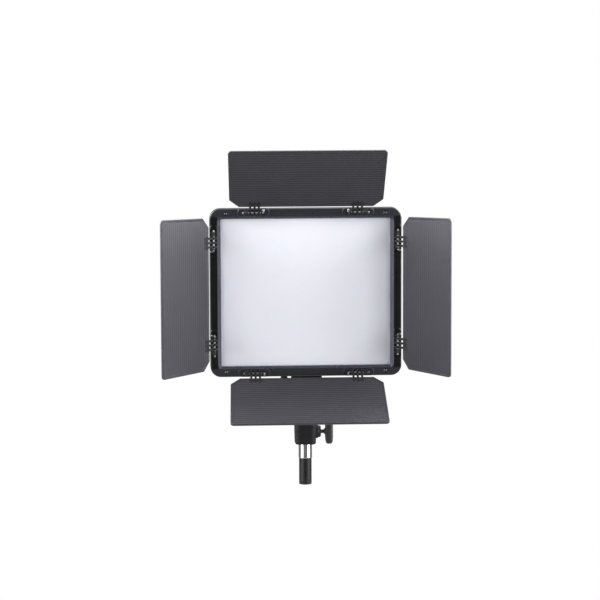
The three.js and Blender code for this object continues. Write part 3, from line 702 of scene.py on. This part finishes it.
def leaf_shape():
    """One leaf, with its hinge along x, the leaf along +z and its inner face towards -y."""
    corners, half, steps = leaf_corners(), LEAF_T / 2, 6

    def ring(inset, y):
        return at_y(outline(corners, inset, steps), y)

    front = [ring(i, -half + d) for i, d in quarter(0.5, 3)]
    # outer face: a shallow smooth field inside a rim
    back = [ring(i, half - d) for i, d in reversed(quarter(0.5, 3))]
    body = [ring(LEAF_RIM + 0.6, -half + LEAF_FIELD), ring(LEAF_RIM, -half)] + front + back
    body += [ring(3.4, half), ring(3.8, half - 0.25)]
    shapes = [loft(body)]
    field = outline(corners, LEAF_RIM + 0.45, steps)
    low, high = min(z for _, z in field), max(z for _, z in field)
    top = -half + LEAF_FIELD + 0.01
    # each rib closes under the field's surface, where it isn't seen
    root = [(RIB[-1][0], -0.11), (RIB[0][0], -0.11)]
    for n in range(RIBS):
        z = first_rib() + n * RIB_PITCH
        w = half_width(field, min(max(z, low + 0.05), high - 0.05))
        rib = []
        for x, share in ((-w, 0.0), (-w + 1.5, 1.0), (w - 1.5, 1.0), (w, 0.0)):
            rib.append([(x, top - rise * share, z + dz) for dz, rise in RIB]
                       + [(x, top - rise, z + dz) for dz, rise in root])
        shapes.append(loft(rib))
    return merge(*shapes)


def knuckle_shape():
    """The two sets of hinge fingers of a leaf, each with a dull pad that spreads into the leaf."""
    # the fingers and pads take a darker colour than the leaf, partly painted shade near the hinge
    shapes, half, foot = [], LEAF_T / 2, LEAF_NEAR + 0.4
    for centre in (-HINGE_ALONG, HINGE_ALONG):
        pad = [(centre - 8.6, foot, 1.0), (centre + 8.6, foot, 1.0),
               (centre + 6.8, foot + 4.6, 1.5), (centre - 6.8, foot + 4.6, 1.5)]
        shapes.append(plate(pad, -half - 0.1, half + 0.1, 0.3, 5))
        for step in (-1, 0, 1):
            shapes.append(finger(centre + step * FINGER_PITCH))
    return merge(*shapes)


def finger(x):
    """One hinge finger: an eye round the wire and a tapered bar to the leaf."""
    low, high = x - FINGER_W / 2, x + FINGER_W / 2
    half = [(EYE_BORE, 0.15), (EYE_BORE + 0.15, 0.0), (EYE_R - 0.3, 0.0), (EYE_R - 0.09, 0.09),
            (EYE_R, 0.3)]
    eye = [(r, low + d) for r, d in half] + [(r, high - d) for r, d in reversed(half)]
    bar = plate([(1.9, -1.3, 0.1), (14.0, -1.3, 0.3), (16.5, -0.9, 0.3), (16.5, 0.9, 0.3),
                 (14.0, 1.3, 0.3), (1.9, 1.3, 0.1)], low, high, 0.3, 3)
    return merge(axes(turned(eye, 40, True), "zyx"), axes(bar, "yzx"))


def barn_doors():
    shape, knuckles = leaf_shape(), knuckle_shape()
    for side, (turn, reach, opened, _) in SIDES.items():
        place = HEAD_PLACE @ spin("Y", turn) @ Matrix.Translation((0, HINGE_Y, reach - HINGE_INSET))
        place = place @ spin("X", opened)
        obj = make("leaf_" + side, shape, place)
        dress(obj, "leaf", "door_" + side, "leaf_plastic", "barn_door_" + side)
        hinge = make("knuckles_" + side, knuckles, place)
        dress(hinge, "knuckle", "door_" + side, "leaf_plastic")


# ---- rear housing and controls -------------------------------------------------------


def housing():
    shell = rect(HOUSING_W, HOUSING_H, HOUSING_CORNER)
    room = rect(HOUSING_W - 2 * HOUSING_WALL, HOUSING_H - 2 * HOUSING_WALL,
                HOUSING_CORNER - HOUSING_WALL)

    def ring(corners, inset, y):
        return at_y(outline(corners, inset, 10), y)

    inner = [ring(room, i, INNER_BACK - d) for i, d in quarter(HOUSING_EDGE - 1, 5)]
    inner += [ring(room, 0.0, HOUSING_FRONT)]
    outer = [ring(shell, 0.2, HOUSING_FRONT), ring(shell, 0.0, HOUSING_FRONT + 0.3)]
    outer += [ring(shell, i, HOUSING_BACK - d) for i, d in reversed(quarter(HOUSING_EDGE, 8))]
    obj = make("housing_shell", loft(inner + outer), HEAD_PLACE)
    tools = []
    for side in (-1, 1):
        for row in range(VENTS):
            slot = rect(60, 2.6, 1.29, side * VENT_X, VENT_LOW + row * VENT_PITCH)
            tools.append(flared_slot(slot, INNER_BACK - 2, HOUSING_BACK, 0.5))
    recess = rect(PANEL_W + 0.8, PANEL_H + 0.8, 3.4, 0, PANEL_Z)
    recess = plate(recess, HOUSING_BACK - 1.1, HOUSING_BACK + 2, 0.02, 6, 1)
    cut(obj, *tools, recess)
    cut(obj, *[plate(c, HOUSING_BACK - 7, HOUSING_BACK + 1, 0.02, 8, 1) for c in panel_holes(0.2)])
    dress(obj, "housing", "head", "housing_plastic", "rear_housing")


def flared_slot(corners, low, face, flare):
    """A slot cutter whose mouth widens by flare at the outer face."""
    steps = ((0.0, low), (0.0, face - flare), (-flare, face + 0.001), (-flare, face + 1.0))
    return loft([at_y(outline(corners, inset, 8), y) for inset, y in steps])


def panel_holes(room=0.0):
    """Outlines of the panel's five openings, each wider by room."""
    grown = 2 * room
    return [
        rect(8.8 + grown, 8.8 + grown, 4.39 + room, DIALS["brightness"], PANEL_Z),
        rect(8.8 + grown, 8.8 + grown, 4.39 + room, DIALS["colour"], PANEL_Z),
        rect(34 + grown, 18 + grown, 1.0, 0, PANEL_Z),
        rect(14 + grown, 21.6 + grown, 0.6, SWITCH_X, PANEL_Z),
        rect(11.8 + grown, 11.8 + grown, 5.89 + room, INLET_X, PANEL_Z),
    ]


def control_panel():
    skin = rect(PANEL_W, PANEL_H, 3, 0, PANEL_Z)
    skin = plate(skin, HOUSING_BACK - 0.8, PANEL_FACE, 0.1, 8, 2, 0.45)
    obj = make("control_plate", skin, HEAD_PLACE)
    cut(obj, *[flared_slot(c, HOUSING_BACK - 2, PANEL_FACE, 0.25) for c in panel_holes()])
    dress(obj, "panel", "head", "panel_plastic", "control_panel")
    glass = plate(rect(33.4, 17.4, 1, 0, PANEL_Z), HOUSING_BACK - 0.7, HOUSING_BACK + 0.5, 0.25, 6)
    dress(make("display_glass", glass, HEAD_PLACE), "display", "head", "display", "display_window")
    marks = []
    ink = (PANEL_FACE - 0.1, PANEL_FACE + 0.06)
    for x in DIALS.values():
        for n in range(11):
            long = 1.9 if n % 5 == 0 else 1.2
            tick = plate(rect(long, 0.45, 0.1, 11.1 + long / 2, 0), *ink, 0.03, 2, 1)
            # seen from behind, the scale runs clockwise from the lower left
            marks.append(moved(tick, Matrix.Translation((x, 0, PANEL_Z)) @ spin("Y", 45 - 27 * n)))
    marks += sun_mark(DIALS["brightness"], PANEL_Z + MARK_UP, ink)
    marks += tone_mark(DIALS["colour"], PANEL_Z + MARK_UP, ink)
    for z in (-1, 1):
        marks.append(plate(rect(34, 0.3, 0.1, 0, PANEL_Z + z * 11.6), *ink, 0.03, 2, 1))
    dress(make("panel_marks", merge(*marks), HEAD_PLACE), "ink", "head", "panel_plastic")


def flat_ring(inner, outer, low, high):
    """A thin ring that faces along y."""
    return axes(turned([(inner, low), (outer, low), (outer, high), (inner, high)], 32, True), "xzy")


def sun_mark(x, z, ink):
    """Eight short rays round a ring, for brightness."""
    rays = []
    for n in range(8):
        ray = plate(rect(0.9, 0.32, 0.1, 1.95, 0), *ink, 0.03, 2, 1)
        rays.append(moved(ray, Matrix.Translation((x, 0, z)) @ spin("Y", 45 * n)))
    return [shifted(flat_ring(0.8, 1.15, *ink), x, 0, z), *rays]


def tone_mark(x, z, ink):
    """A ring with one half filled, for colour temperature."""
    angles = [math.pi * k / 12 for k in range(13)]
    half = [(0.95 * math.sin(a), 0.95 * math.cos(a)) for a in angles]
    fill = loft([at_y(half, ink[0]), at_y(half, ink[1])])
    return [shifted(merge(flat_ring(1.25, 1.6, *ink), fill), x, 0, z)]


def knobs():
    """Fluted dials with a rounded rim and an inlaid pointer."""
    sides, flutes = 192, 24
    # (radius, height, share of the flutes' depth), from the shaft's bore outwards and over the rim
    profile = [(3.2, 8.6, 0.0), (3.2, 0.0, 0.0), (7.8, 0.0, 0.0), (9.2, 0.0, 0.0), (9.5, 0.3, 0.0),
               (9.5, 1.6, 0.0), (9.35, 2.0, 0.35), (9.3, 2.6, 1.0), (9.15, 9.6, 1.0),
               (8.95, 10.6, 0.8), (8.6, 11.1, 0.4), (8.1, 11.4, 0.0), (7.4, 11.5, 0.0),
               (6.9, 11.42, 0.0), (6.5, 11.2, 0.0), (0.02, 11.2, 0.0)]
    skin = []
    for r, y, share in profile:
        ring = []
        for k in range(sides):
            a = 2 * math.pi * k / sides
            dip = share * 0.42 * (0.5 - 0.5 * math.cos(flutes * a)) ** 0.7
            ring.append(((r - dip) * math.cos(a), y, (r - dip) * math.sin(a)))
        skin.append(ring)
    shape = loft(skin)
    for name, x in DIALS.items():
        place = on_head(x, KNOB_Y, PANEL_Z) @ spin("Y", KNOB_START)
        dial = make("dial_" + name, shape, place)
        dress(dial, "knob", name + "_knob", "knob_plastic", name + "_knob")
        line = plate(rect(0.9, 4.6, 0.44, 0, 3.9), 10.9, 11.3, 0.06, 5, 1)
        dress(make("pointer_" + name, line, place), "ink", name + "_knob", "knob_plastic")


def power_switch():
    flange = plate(rect(15.2, 23.2, 1.2), HOUSING_BACK + 1, HOUSING_BACK + 2.4, 0.05, 5, 2, 0.5)
    body = plate(rect(13.2, 20.8, 0.8), 36, HOUSING_BACK + 1.5, 0.2, 4)
    place = on_head(SWITCH_X, 0, PANEL_Z)
    obj = make("switch_body", body, place)
    cover = make("switch_flange", flange, place)
    well = plate(rect(10.8, 18.2, 0.6), 38, HOUSING_BACK + 4, 0.05, 4, 1)
    cut(obj, well)
    cut(cover, well)
    dress(join_meshes(obj, cover), "panel", "head", "panel_plastic", "switch_frame")
    profile = [(-7.9, -1.4, 0.3), (-7.9, 6.6, 1.0), (0.0, 5.4, 9.0), (7.9, 6.6, 1.0),
               (7.9, -1.4, 0.3)]
    tipped = on_head(SWITCH_X, ROCKER_Y, PANEL_Z) @ spin("X", -ROCKER_TILT)
    rocker = make("switch_rocker", axes(plate(profile, -5.1, 5.1, 0.45, 6), "yzx"), tipped)
    dress(rocker, "knob", "power_rocker", "knob_plastic", "power_rocker")
    tilt = math.degrees(math.atan2(1.2, 7.9))
    bar = plate(rect(0.5, 2.6, 0.12), -0.05, 0.05, 0.01, 2, 1)
    ring = flat_ring(0.95, 1.35, -0.05, 0.05)
    marks = [moved(bar, Matrix.Translation((0, 6.06, 4.4)) @ spin("X", tilt)),
             moved(ring, Matrix.Translation((0, 6.06, -4.4)) @ spin("X", -tilt))]
    dress(make("rocker_marks", merge(*marks), tipped), "ink", "power_rocker", "knob_plastic")


def power_inlet():
    face = HOUSING_BACK + 2.2
    seat = HOUSING_BACK + 1
    profile = [(0.01, 38.5), (3.2, 38.5), (3.2, face - 0.9), (3.6, face - 0.35), (4.4, face - 0.3),
               (4.7, face), (6.8, face), (7.2, face - 0.4), (7.2, seat), (5.5, seat), (5.5, 36.0),
               (0.01, 36.0)]
    shell = turned(profile, 64)
    pin = turned([(0.01, 38.0), (1.0, 38.0), (1.0, 43.2), (0.8, 43.6), (0.01, 43.6)], 24)
    place = on_head(INLET_X, 0, PANEL_Z)
    obj = make("inlet_socket", axes(shell, "xzy"), place)
    dress(obj, "panel", "head", "panel_plastic", "dc_inlet")
    dress(make("inlet_pin", axes(pin, "xzy"), place), "steel", "head", "steel")


# ---- foot, tilt lock, receiver and stand stub ----------------------------------------

FOOT_TOP = -HOUSING_H / 2 - 0.3


def along_x(shape, y, z):
    """A turned shape laid along x, its axis at y and z."""
    return shifted(axes(shape, "zyx"), 0, y, z)


def tab(low, high, root, end, radius):
    """Corners of a flat tab from low to high across, with a round end."""
    return [(low, root, 0.3), (low, end, radius), (high, end, radius), (high, root, 0.3)]


def foot():
    top = plate(rect(EAR_LEFT + EAR_RIGHT, 24, 2.0, (EAR_RIGHT - EAR_LEFT) / 2, TUBE_Y),
                FOOT_TOP - FOOT_PLATE, FOOT_TOP, 0.7, 6)
    shapes = [axes(top, "xzy")]
    r = EAR_R
    for sign in (-1, 1):
        low, high = span_of(sign, EAR_IN, EAR_RIGHT if sign > 0 else EAR_LEFT)
        ear = tab(TUBE_Y - r, TUBE_Y + r, FOOT_TOP - 1, PIVOT - r, r)
        shapes.append(axes(plate(ear, low, high, 0.8, 14), "yxz"))
    obj = make("foot_bracket", merge(*shapes), HEAD_PLACE)
    dress(obj, "bracket", "head", "bracket", "head_foot")
    seat = FOOT_TOP - FOOT_PLATE + 2.4
    head = [(0.01, seat - 2.0), (2.0, seat - 2.0), (3.1, seat - 1.8), (3.5, seat - 1.2),
            (3.5, seat), (1.9, seat), (1.9, FOOT_TOP + 6), (0.01, FOOT_TOP + 6)]
    for name, y in (("front", -8), ("back", 8)):
        screw = make("bracket_screw_" + name, turned(head, 32), on_head(0, TUBE_Y + y, 0))
        dress(screw, "oxide", "head", "black_steel", "foot_screw_" + name)


def tilt_hardware():
    angles = [math.radians(60 * k) for k in range(6)]
    hexagon = [(5.7 * math.cos(a), 5.7 * math.sin(a), 0.25) for a in angles]
    start = EAR_RIGHT + 0.3
    head = shifted(axes(plate(hexagon, start, start + 3.9, 0.35, 3, 3), "yxz"), 0, TUBE_Y, PIVOT)
    shank = [(0.01, -26), (2.5, -26), (2.95, -25.5), (2.95, EAR_RIGHT + 1), (0.01, EAR_RIGHT + 1)]
    shank = along_x(turned(shank, 32), TUBE_Y, PIVOT)
    bolt = make("bolt_tilt", merge(head, shank), HEAD_PLACE)
    dress(bolt, "oxide", "head", "black_steel", "tilt_bolt")
    for sign, name in ((-1, "left"), (1, "right")):
        low, high = span_of(sign, TONGUE + 0.2, EAR_IN - 0.2)
        ring = [(3.35, low), (8.3, low), (8.4, low + 0.1), (8.4, high - 0.1), (8.3, high),
                (3.35, high)]
        washer = make("washer_" + name, along_x(turned(ring, 48, True), TUBE_Y, PIVOT), HEAD_PLACE)
        dress(washer, "soft", "head", "soft_plastic", "tilt_washer_" + name)


def lever_shape(width, nose, radius, root):
    """A T-shaped lever: a rounded bar from x = 0 to width, and a nose flaring from the stud."""
    rings = []
    steps = 36
    for k in range(steps + 1):
        t = -math.cos(math.pi * k / steps)
        a = abs(t)
        close = max(1 - a ** 12, 0.0) ** (1 / 3.0)
        inner = width * (0.01 + 0.12 * a ** 3)
        outer = width * (1 - 0.01 - 0.10 * a ** 4)
        mid, wide = (inner + outer) / 2, (outer - inner) / 2 * close
        deep = (LEVER_DEPTH - a ** 2) * close
        ring = []
        for n in range(28):
            b = 2 * math.pi * n / 28
            c, s = math.cos(b), math.sin(b)
            ring.append((mid + max(wide, 0.02) * math.copysign(abs(c) ** 0.62, c),
                         max(deep, 0.02) * math.copysign(abs(s) ** 0.62, s), t * LEVER_HALF))
        rings.append(ring)
    bar = loft(rings)
    flare = [(0.01, -nose), (radius - 0.2, -nose), (radius, -nose + 0.25)]
    flare += [(radius + (root - radius) * (s / 6) ** 2, -nose + 0.25 + (nose + 1.5) * s / 6)
              for s in range(1, 7)]
    flare += [(3.0, 3.0), (0.01, 3.0)]
    return merge(bar, axes(turned(flare, 40), "zyx"))


def levers():
    place = on_head(-EAR_LEFT - 0.4, TUBE_Y, PIVOT) @ spin("Z", 180)
    insert = [(3.35, 0.0), (4.3, 0.0), (4.5, 0.2), (4.5, 1.8), (4.3, 2.0), (4.1, 2.0), (4.1, 9.6),
              (3.35, 9.6)]
    obj = make("lever_tilt_insert", axes(turned(insert, 40, True), "zyx"), place)
    dress(obj, "brass", "tilt_lever", "brass", "tilt_lever_insert")
    bar = lever_shape(9.2, 1.0, 4.9, 5.3)
    place = place @ Matrix.Translation((3.2, 0, 0)) @ spin("X", TILT_LEVER_START)
    dress(make("lever_tilt", bar, place), "lever", "tilt_lever", "lever_plastic", "tilt_lever")
    place = Matrix.Translation((CLAMP_LEVER_X, 0, CLAMP_Z))
    obj = make("lever_clamp", lever_shape(9.8, 1.3, 3.5, 4.9), place)
    dress(obj, "lever", "clamp_lever", "lever_plastic", "clamp_lever")
    thread = [(0.01, 9.9), (2.0, 9.9)]
    for n in range(24):
        thread += [(2.38, 10.3 + n * 0.8), (2.05, 10.7 + n * 0.8)]
    thread += [(2.2, 29.9), (0.01, 29.9)]
    stud = make("stud_clamp", along_x(turned(thread, 32), 0, CLAMP_Z))
    dress(stud, "steel", "clamp_lever", "steel", "clamp_stud")


def receiver():
    bottom, shoulder, half = 48.8, PIVOT_Z - 13.5, 12.85
    steps = 16

    def square(inset, z):
        taper = 0.45 * max(0.0, min(1.0, (66.0 - z) / (66.0 - bottom)))
        return [(u, v, z) for u, v in outline(rect(2 * half, 2 * half, 7.0), inset + taper, steps)]

    def circle(r, z):
        return [(u, v, z) for u, v in outline(rect(2 * r, 2 * r, r - 0.001), 0.0, steps)]

    rings = [circle(0.05, 93.0), circle(8.0, 93.0), circle(8.35, 92.5), circle(8.35, bottom + 0.8),
             circle(8.9, bottom)]
    rings += [square(i, bottom + d) for i, d in quarter(2.0, 6)]
    rings += [square(0.0, z) for z in (54.0, 58.0, 62.0, 66.0, 90.0)]
    rings += [square(i, shoulder - d) for i, d in reversed(quarter(2.0, 6))]
    shapes = [loft(rings)]
    r = TONGUE_R
    tongue = tab(-r, r, shoulder - 2, PIVOT_Z + r, r)
    shapes.append(axes(plate(tongue, -TONGUE, TONGUE, 0.6, 14), "yxz"))
    boss = [(0.5, 9.5), (8.2, 9.5), (8.2, 14.2), (7.9, 14.9), (7.3, 15.3), (7.1, 15.7), (7.0, 17.2),
            (5.9, 18.5), (2.9, 18.5), (2.75, 18.2), (2.75, 10.0)]
    shapes.append(along_x(turned(boss, 56), 0, CLAMP_Z))
    obj = make("receiver_block", merge(*shapes))
    dress(obj, "bracket", "receiver", "bracket", "receiver_body")


def stand_stub():
    # the pin, with the groove that the clamp's pad presses into
    pin = [(0.01, 9), (5.9, 9), (6.3, 9.6), (6.3, 31.8), (7.5, 31.8), (7.85, 31.92), (8, 32.3),
           (8, 32.7), (8, CLAMP_Z - 6.9), (8, CLAMP_Z - 6.5), (6.5, CLAMP_Z - 5),
           (6.5, CLAMP_Z + 5), (8, CLAMP_Z + 6.5), (8, 88.5), (6.5, 90), (0.01, 90)]
    dress(make("spigot_pin", turned(pin, 96)), "chrome", "stand", "chrome", "spigot")
    tube = [(6.6, 2.3), (7.3, 2.3), (7.5, 2.5), (7.5, 31.2), (7.3, 31.5), (6.6, 31.5)]
    dress(make("stand_riser", turned(tube, 96, True)), "tube", "stand", "tube_paint", "riser_tube")
    plug = [(0.01, 0), (7.2, 0), (7.4, 0.06), (7.5, 0.2), (7.5, 1.8), (7.3, 2), (6.2, 2),
            (6.2, 7.5), (5.6, 8.5), (0.01, 8.5)]
    dress(make("riser_plug", turned(plug, 64)), "soft", "stand", "soft_plastic", "end_plug")


def carried_nodes():
    """CAD nodes whose shape is kept, each with a procedural finish."""
    finishes = {
        "diffuser": "opal", "reflector_frame": "white", "led_board": "white",
        "heat_sink": "aluminium", "driver_board": "circuit", "display_module": "circuit",
        "brightness_potentiometer": "steel", "colour_potentiometer": "steel",
        "pressure_pad": "brass",
    }
    for node, finish in finishes.items():
        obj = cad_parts[node]
        obj.data.materials.clear()
        obj.data.materials.append(MATERIALS[finish])
        soften(obj, 0.2)


frame_moulding()
corner_screws()
hinge_rods()
barn_doors()
housing()
control_panel()
knobs()
power_switch()
power_inlet()
foot()
tilt_hardware()
levers()
receiver()
stand_stub()
carried_nodes()

# ---- camera, lights and floor --------------------------------------------------------

FACE = Vector(HEAD) * MM
DISTANCE = 2.7264
LEFT_OF_NORMAL, ABOVE = math.radians(3.341), math.radians(6.491)
ROLL = math.radians(-0.224)
FIELD = math.radians(14.693)
# the point the camera looks at, from the middle of the frame's front
AIM = Vector((-7.05, 0, -8.69)) * MM


def camera():
    level = math.cos(ABOVE)
    left, front = math.sin(LEFT_OF_NORMAL) * level, math.cos(LEFT_OF_NORMAL) * level
    back = Vector((-left, -front, math.sin(ABOVE)))
    place = FACE + back * DISTANCE
    ahead = (FACE + AIM - place).normalized()
    right = ahead.cross(Vector((0, 0, 1))).normalized()
    up = right.cross(ahead)
    rolled_right = right * math.cos(ROLL) + up * math.sin(ROLL)
    rolled_up = up * math.cos(ROLL) - right * math.sin(ROLL)
    data = bpy.data.cameras.new("camera")
    data.sensor_width = 36.0
    data.lens = 18.0 / math.tan(FIELD / 2)
    data.clip_start, data.clip_end = 0.1, 100.0
    obj = bpy.data.objects.new("camera", data)
    bpy.context.scene.collection.objects.link(obj)
    turn = Matrix((rolled_right, rolled_up, -ahead)).transposed().to_4x4()
    obj.matrix_world = Matrix.Translation(place) @ turn
    bpy.context.scene.camera = obj


def softbox(name, place, aim, width, height, radiance):
    """An area light of that radiance, facing aim."""
    data = bpy.data.lights.new(name, "AREA")
    data.shape = "RECTANGLE"
    data.size, data.size_y = width, height
    data.energy = radiance * math.pi * width * height
    obj = bpy.data.objects.new(name, data)
    bpy.context.scene.collection.objects.link(obj)
    obj.location = place
    obj.rotation_mode = "QUATERNION"
    obj.rotation_quaternion = (Vector(place) - Vector(aim)).to_track_quat("Z", "Y")


def around(azimuth, distance, z):
    """A place at a distance from the riser's axis, azimuth degrees from the front to the right."""
    a = math.radians(azimuth)
    return distance * math.sin(a), -distance * math.cos(a), z


def lights():
    middle = (0.0, 0.0, 0.22)
    softbox("soft_right", around(60, 1.6, 0.6), (0, 0, 0.6), 1.10, 2.2, 5.0)
    softbox("soft_left", around(-60, 1.6, 0.6), (0, 0, 0.6), 1.10, 2.2, 4.2)
    softbox("wing_right", around(96, 0.9, 0.95), (0, 0, 0.95), 0.80, 1.26, 14.5)
    softbox("wing_left", around(-98, 0.9, 0.95), (0, 0, 0.95), 0.80, 1.26, 15.0)
    softbox("soft_top", (0.0, 0.5, 1.7), middle, 1.6, 1.4, 4.0)
    softbox("soft_back_left", (-1.3, 1.3, 1.1), middle, 0.9, 0.9, 3.0)
    softbox("soft_back_right", (1.3, 1.3, 1.1), middle, 0.9, 0.9, 3.0)
    world = bpy.data.worlds.new("studio")
    bpy.context.scene.world = world
    world.use_nodes = True
    tree = world.node_tree
    tree.nodes.clear()
    out = tree.nodes.new("ShaderNodeOutputWorld")
    mix = tree.nodes.new("ShaderNodeMixShader")
    path = tree.nodes.new("ShaderNodeLightPath")
    tree.links.new(path.outputs["Is Camera Ray"], mix.inputs[0])
    tree.links.new(mix.outputs[0], out.inputs[0])
    # the room's faint light for the object, and the white that the camera sees behind it
    for slot, colour, strength in ((1, (0.95, 0.97, 1.0, 1.0), 0.21),
                                   (2, (1.0, 1.0, 1.0, 1.0), 1.0)):
        room = tree.nodes.new("ShaderNodeBackground")
        room.inputs[0].default_value = colour
        room.inputs[1].default_value = strength
        tree.links.new(room.outputs[0], mix.inputs[slot])
    bpy.context.scene.view_settings.view_transform = "Standard"


def floor():
    """A pale floor, as far below the light as a stand would hold it."""
    sheet = make("floor", turned([(0.01, -1.0), (3800.0, -1.0), (3800.0, 0.0), (0.01, 0.0)], 128))
    sheet.location = (0, 0, FLOOR * MM)
    m = Nodes("pale_floor")
    seen = m.add("ShaderNodeLightPath").outputs["Is Camera Ray"]
    tone = m.ramp(m.noise(3.0, 3.0), (0.3, (0.56, 0.56, 0.56)), (0.7, (0.60, 0.60, 0.60)))
    m.set(Base_Color=tone, Roughness=m.span(m.noise(9.0), 0.75, 0.9),
          Emission_Strength=m.calc("MULTIPLY", seen, 0.62), Emission_Color=(0.97, 0.98, 1.0, 1.0))
    sheet.data.materials.append(m.material)


camera()
lights()
floor()
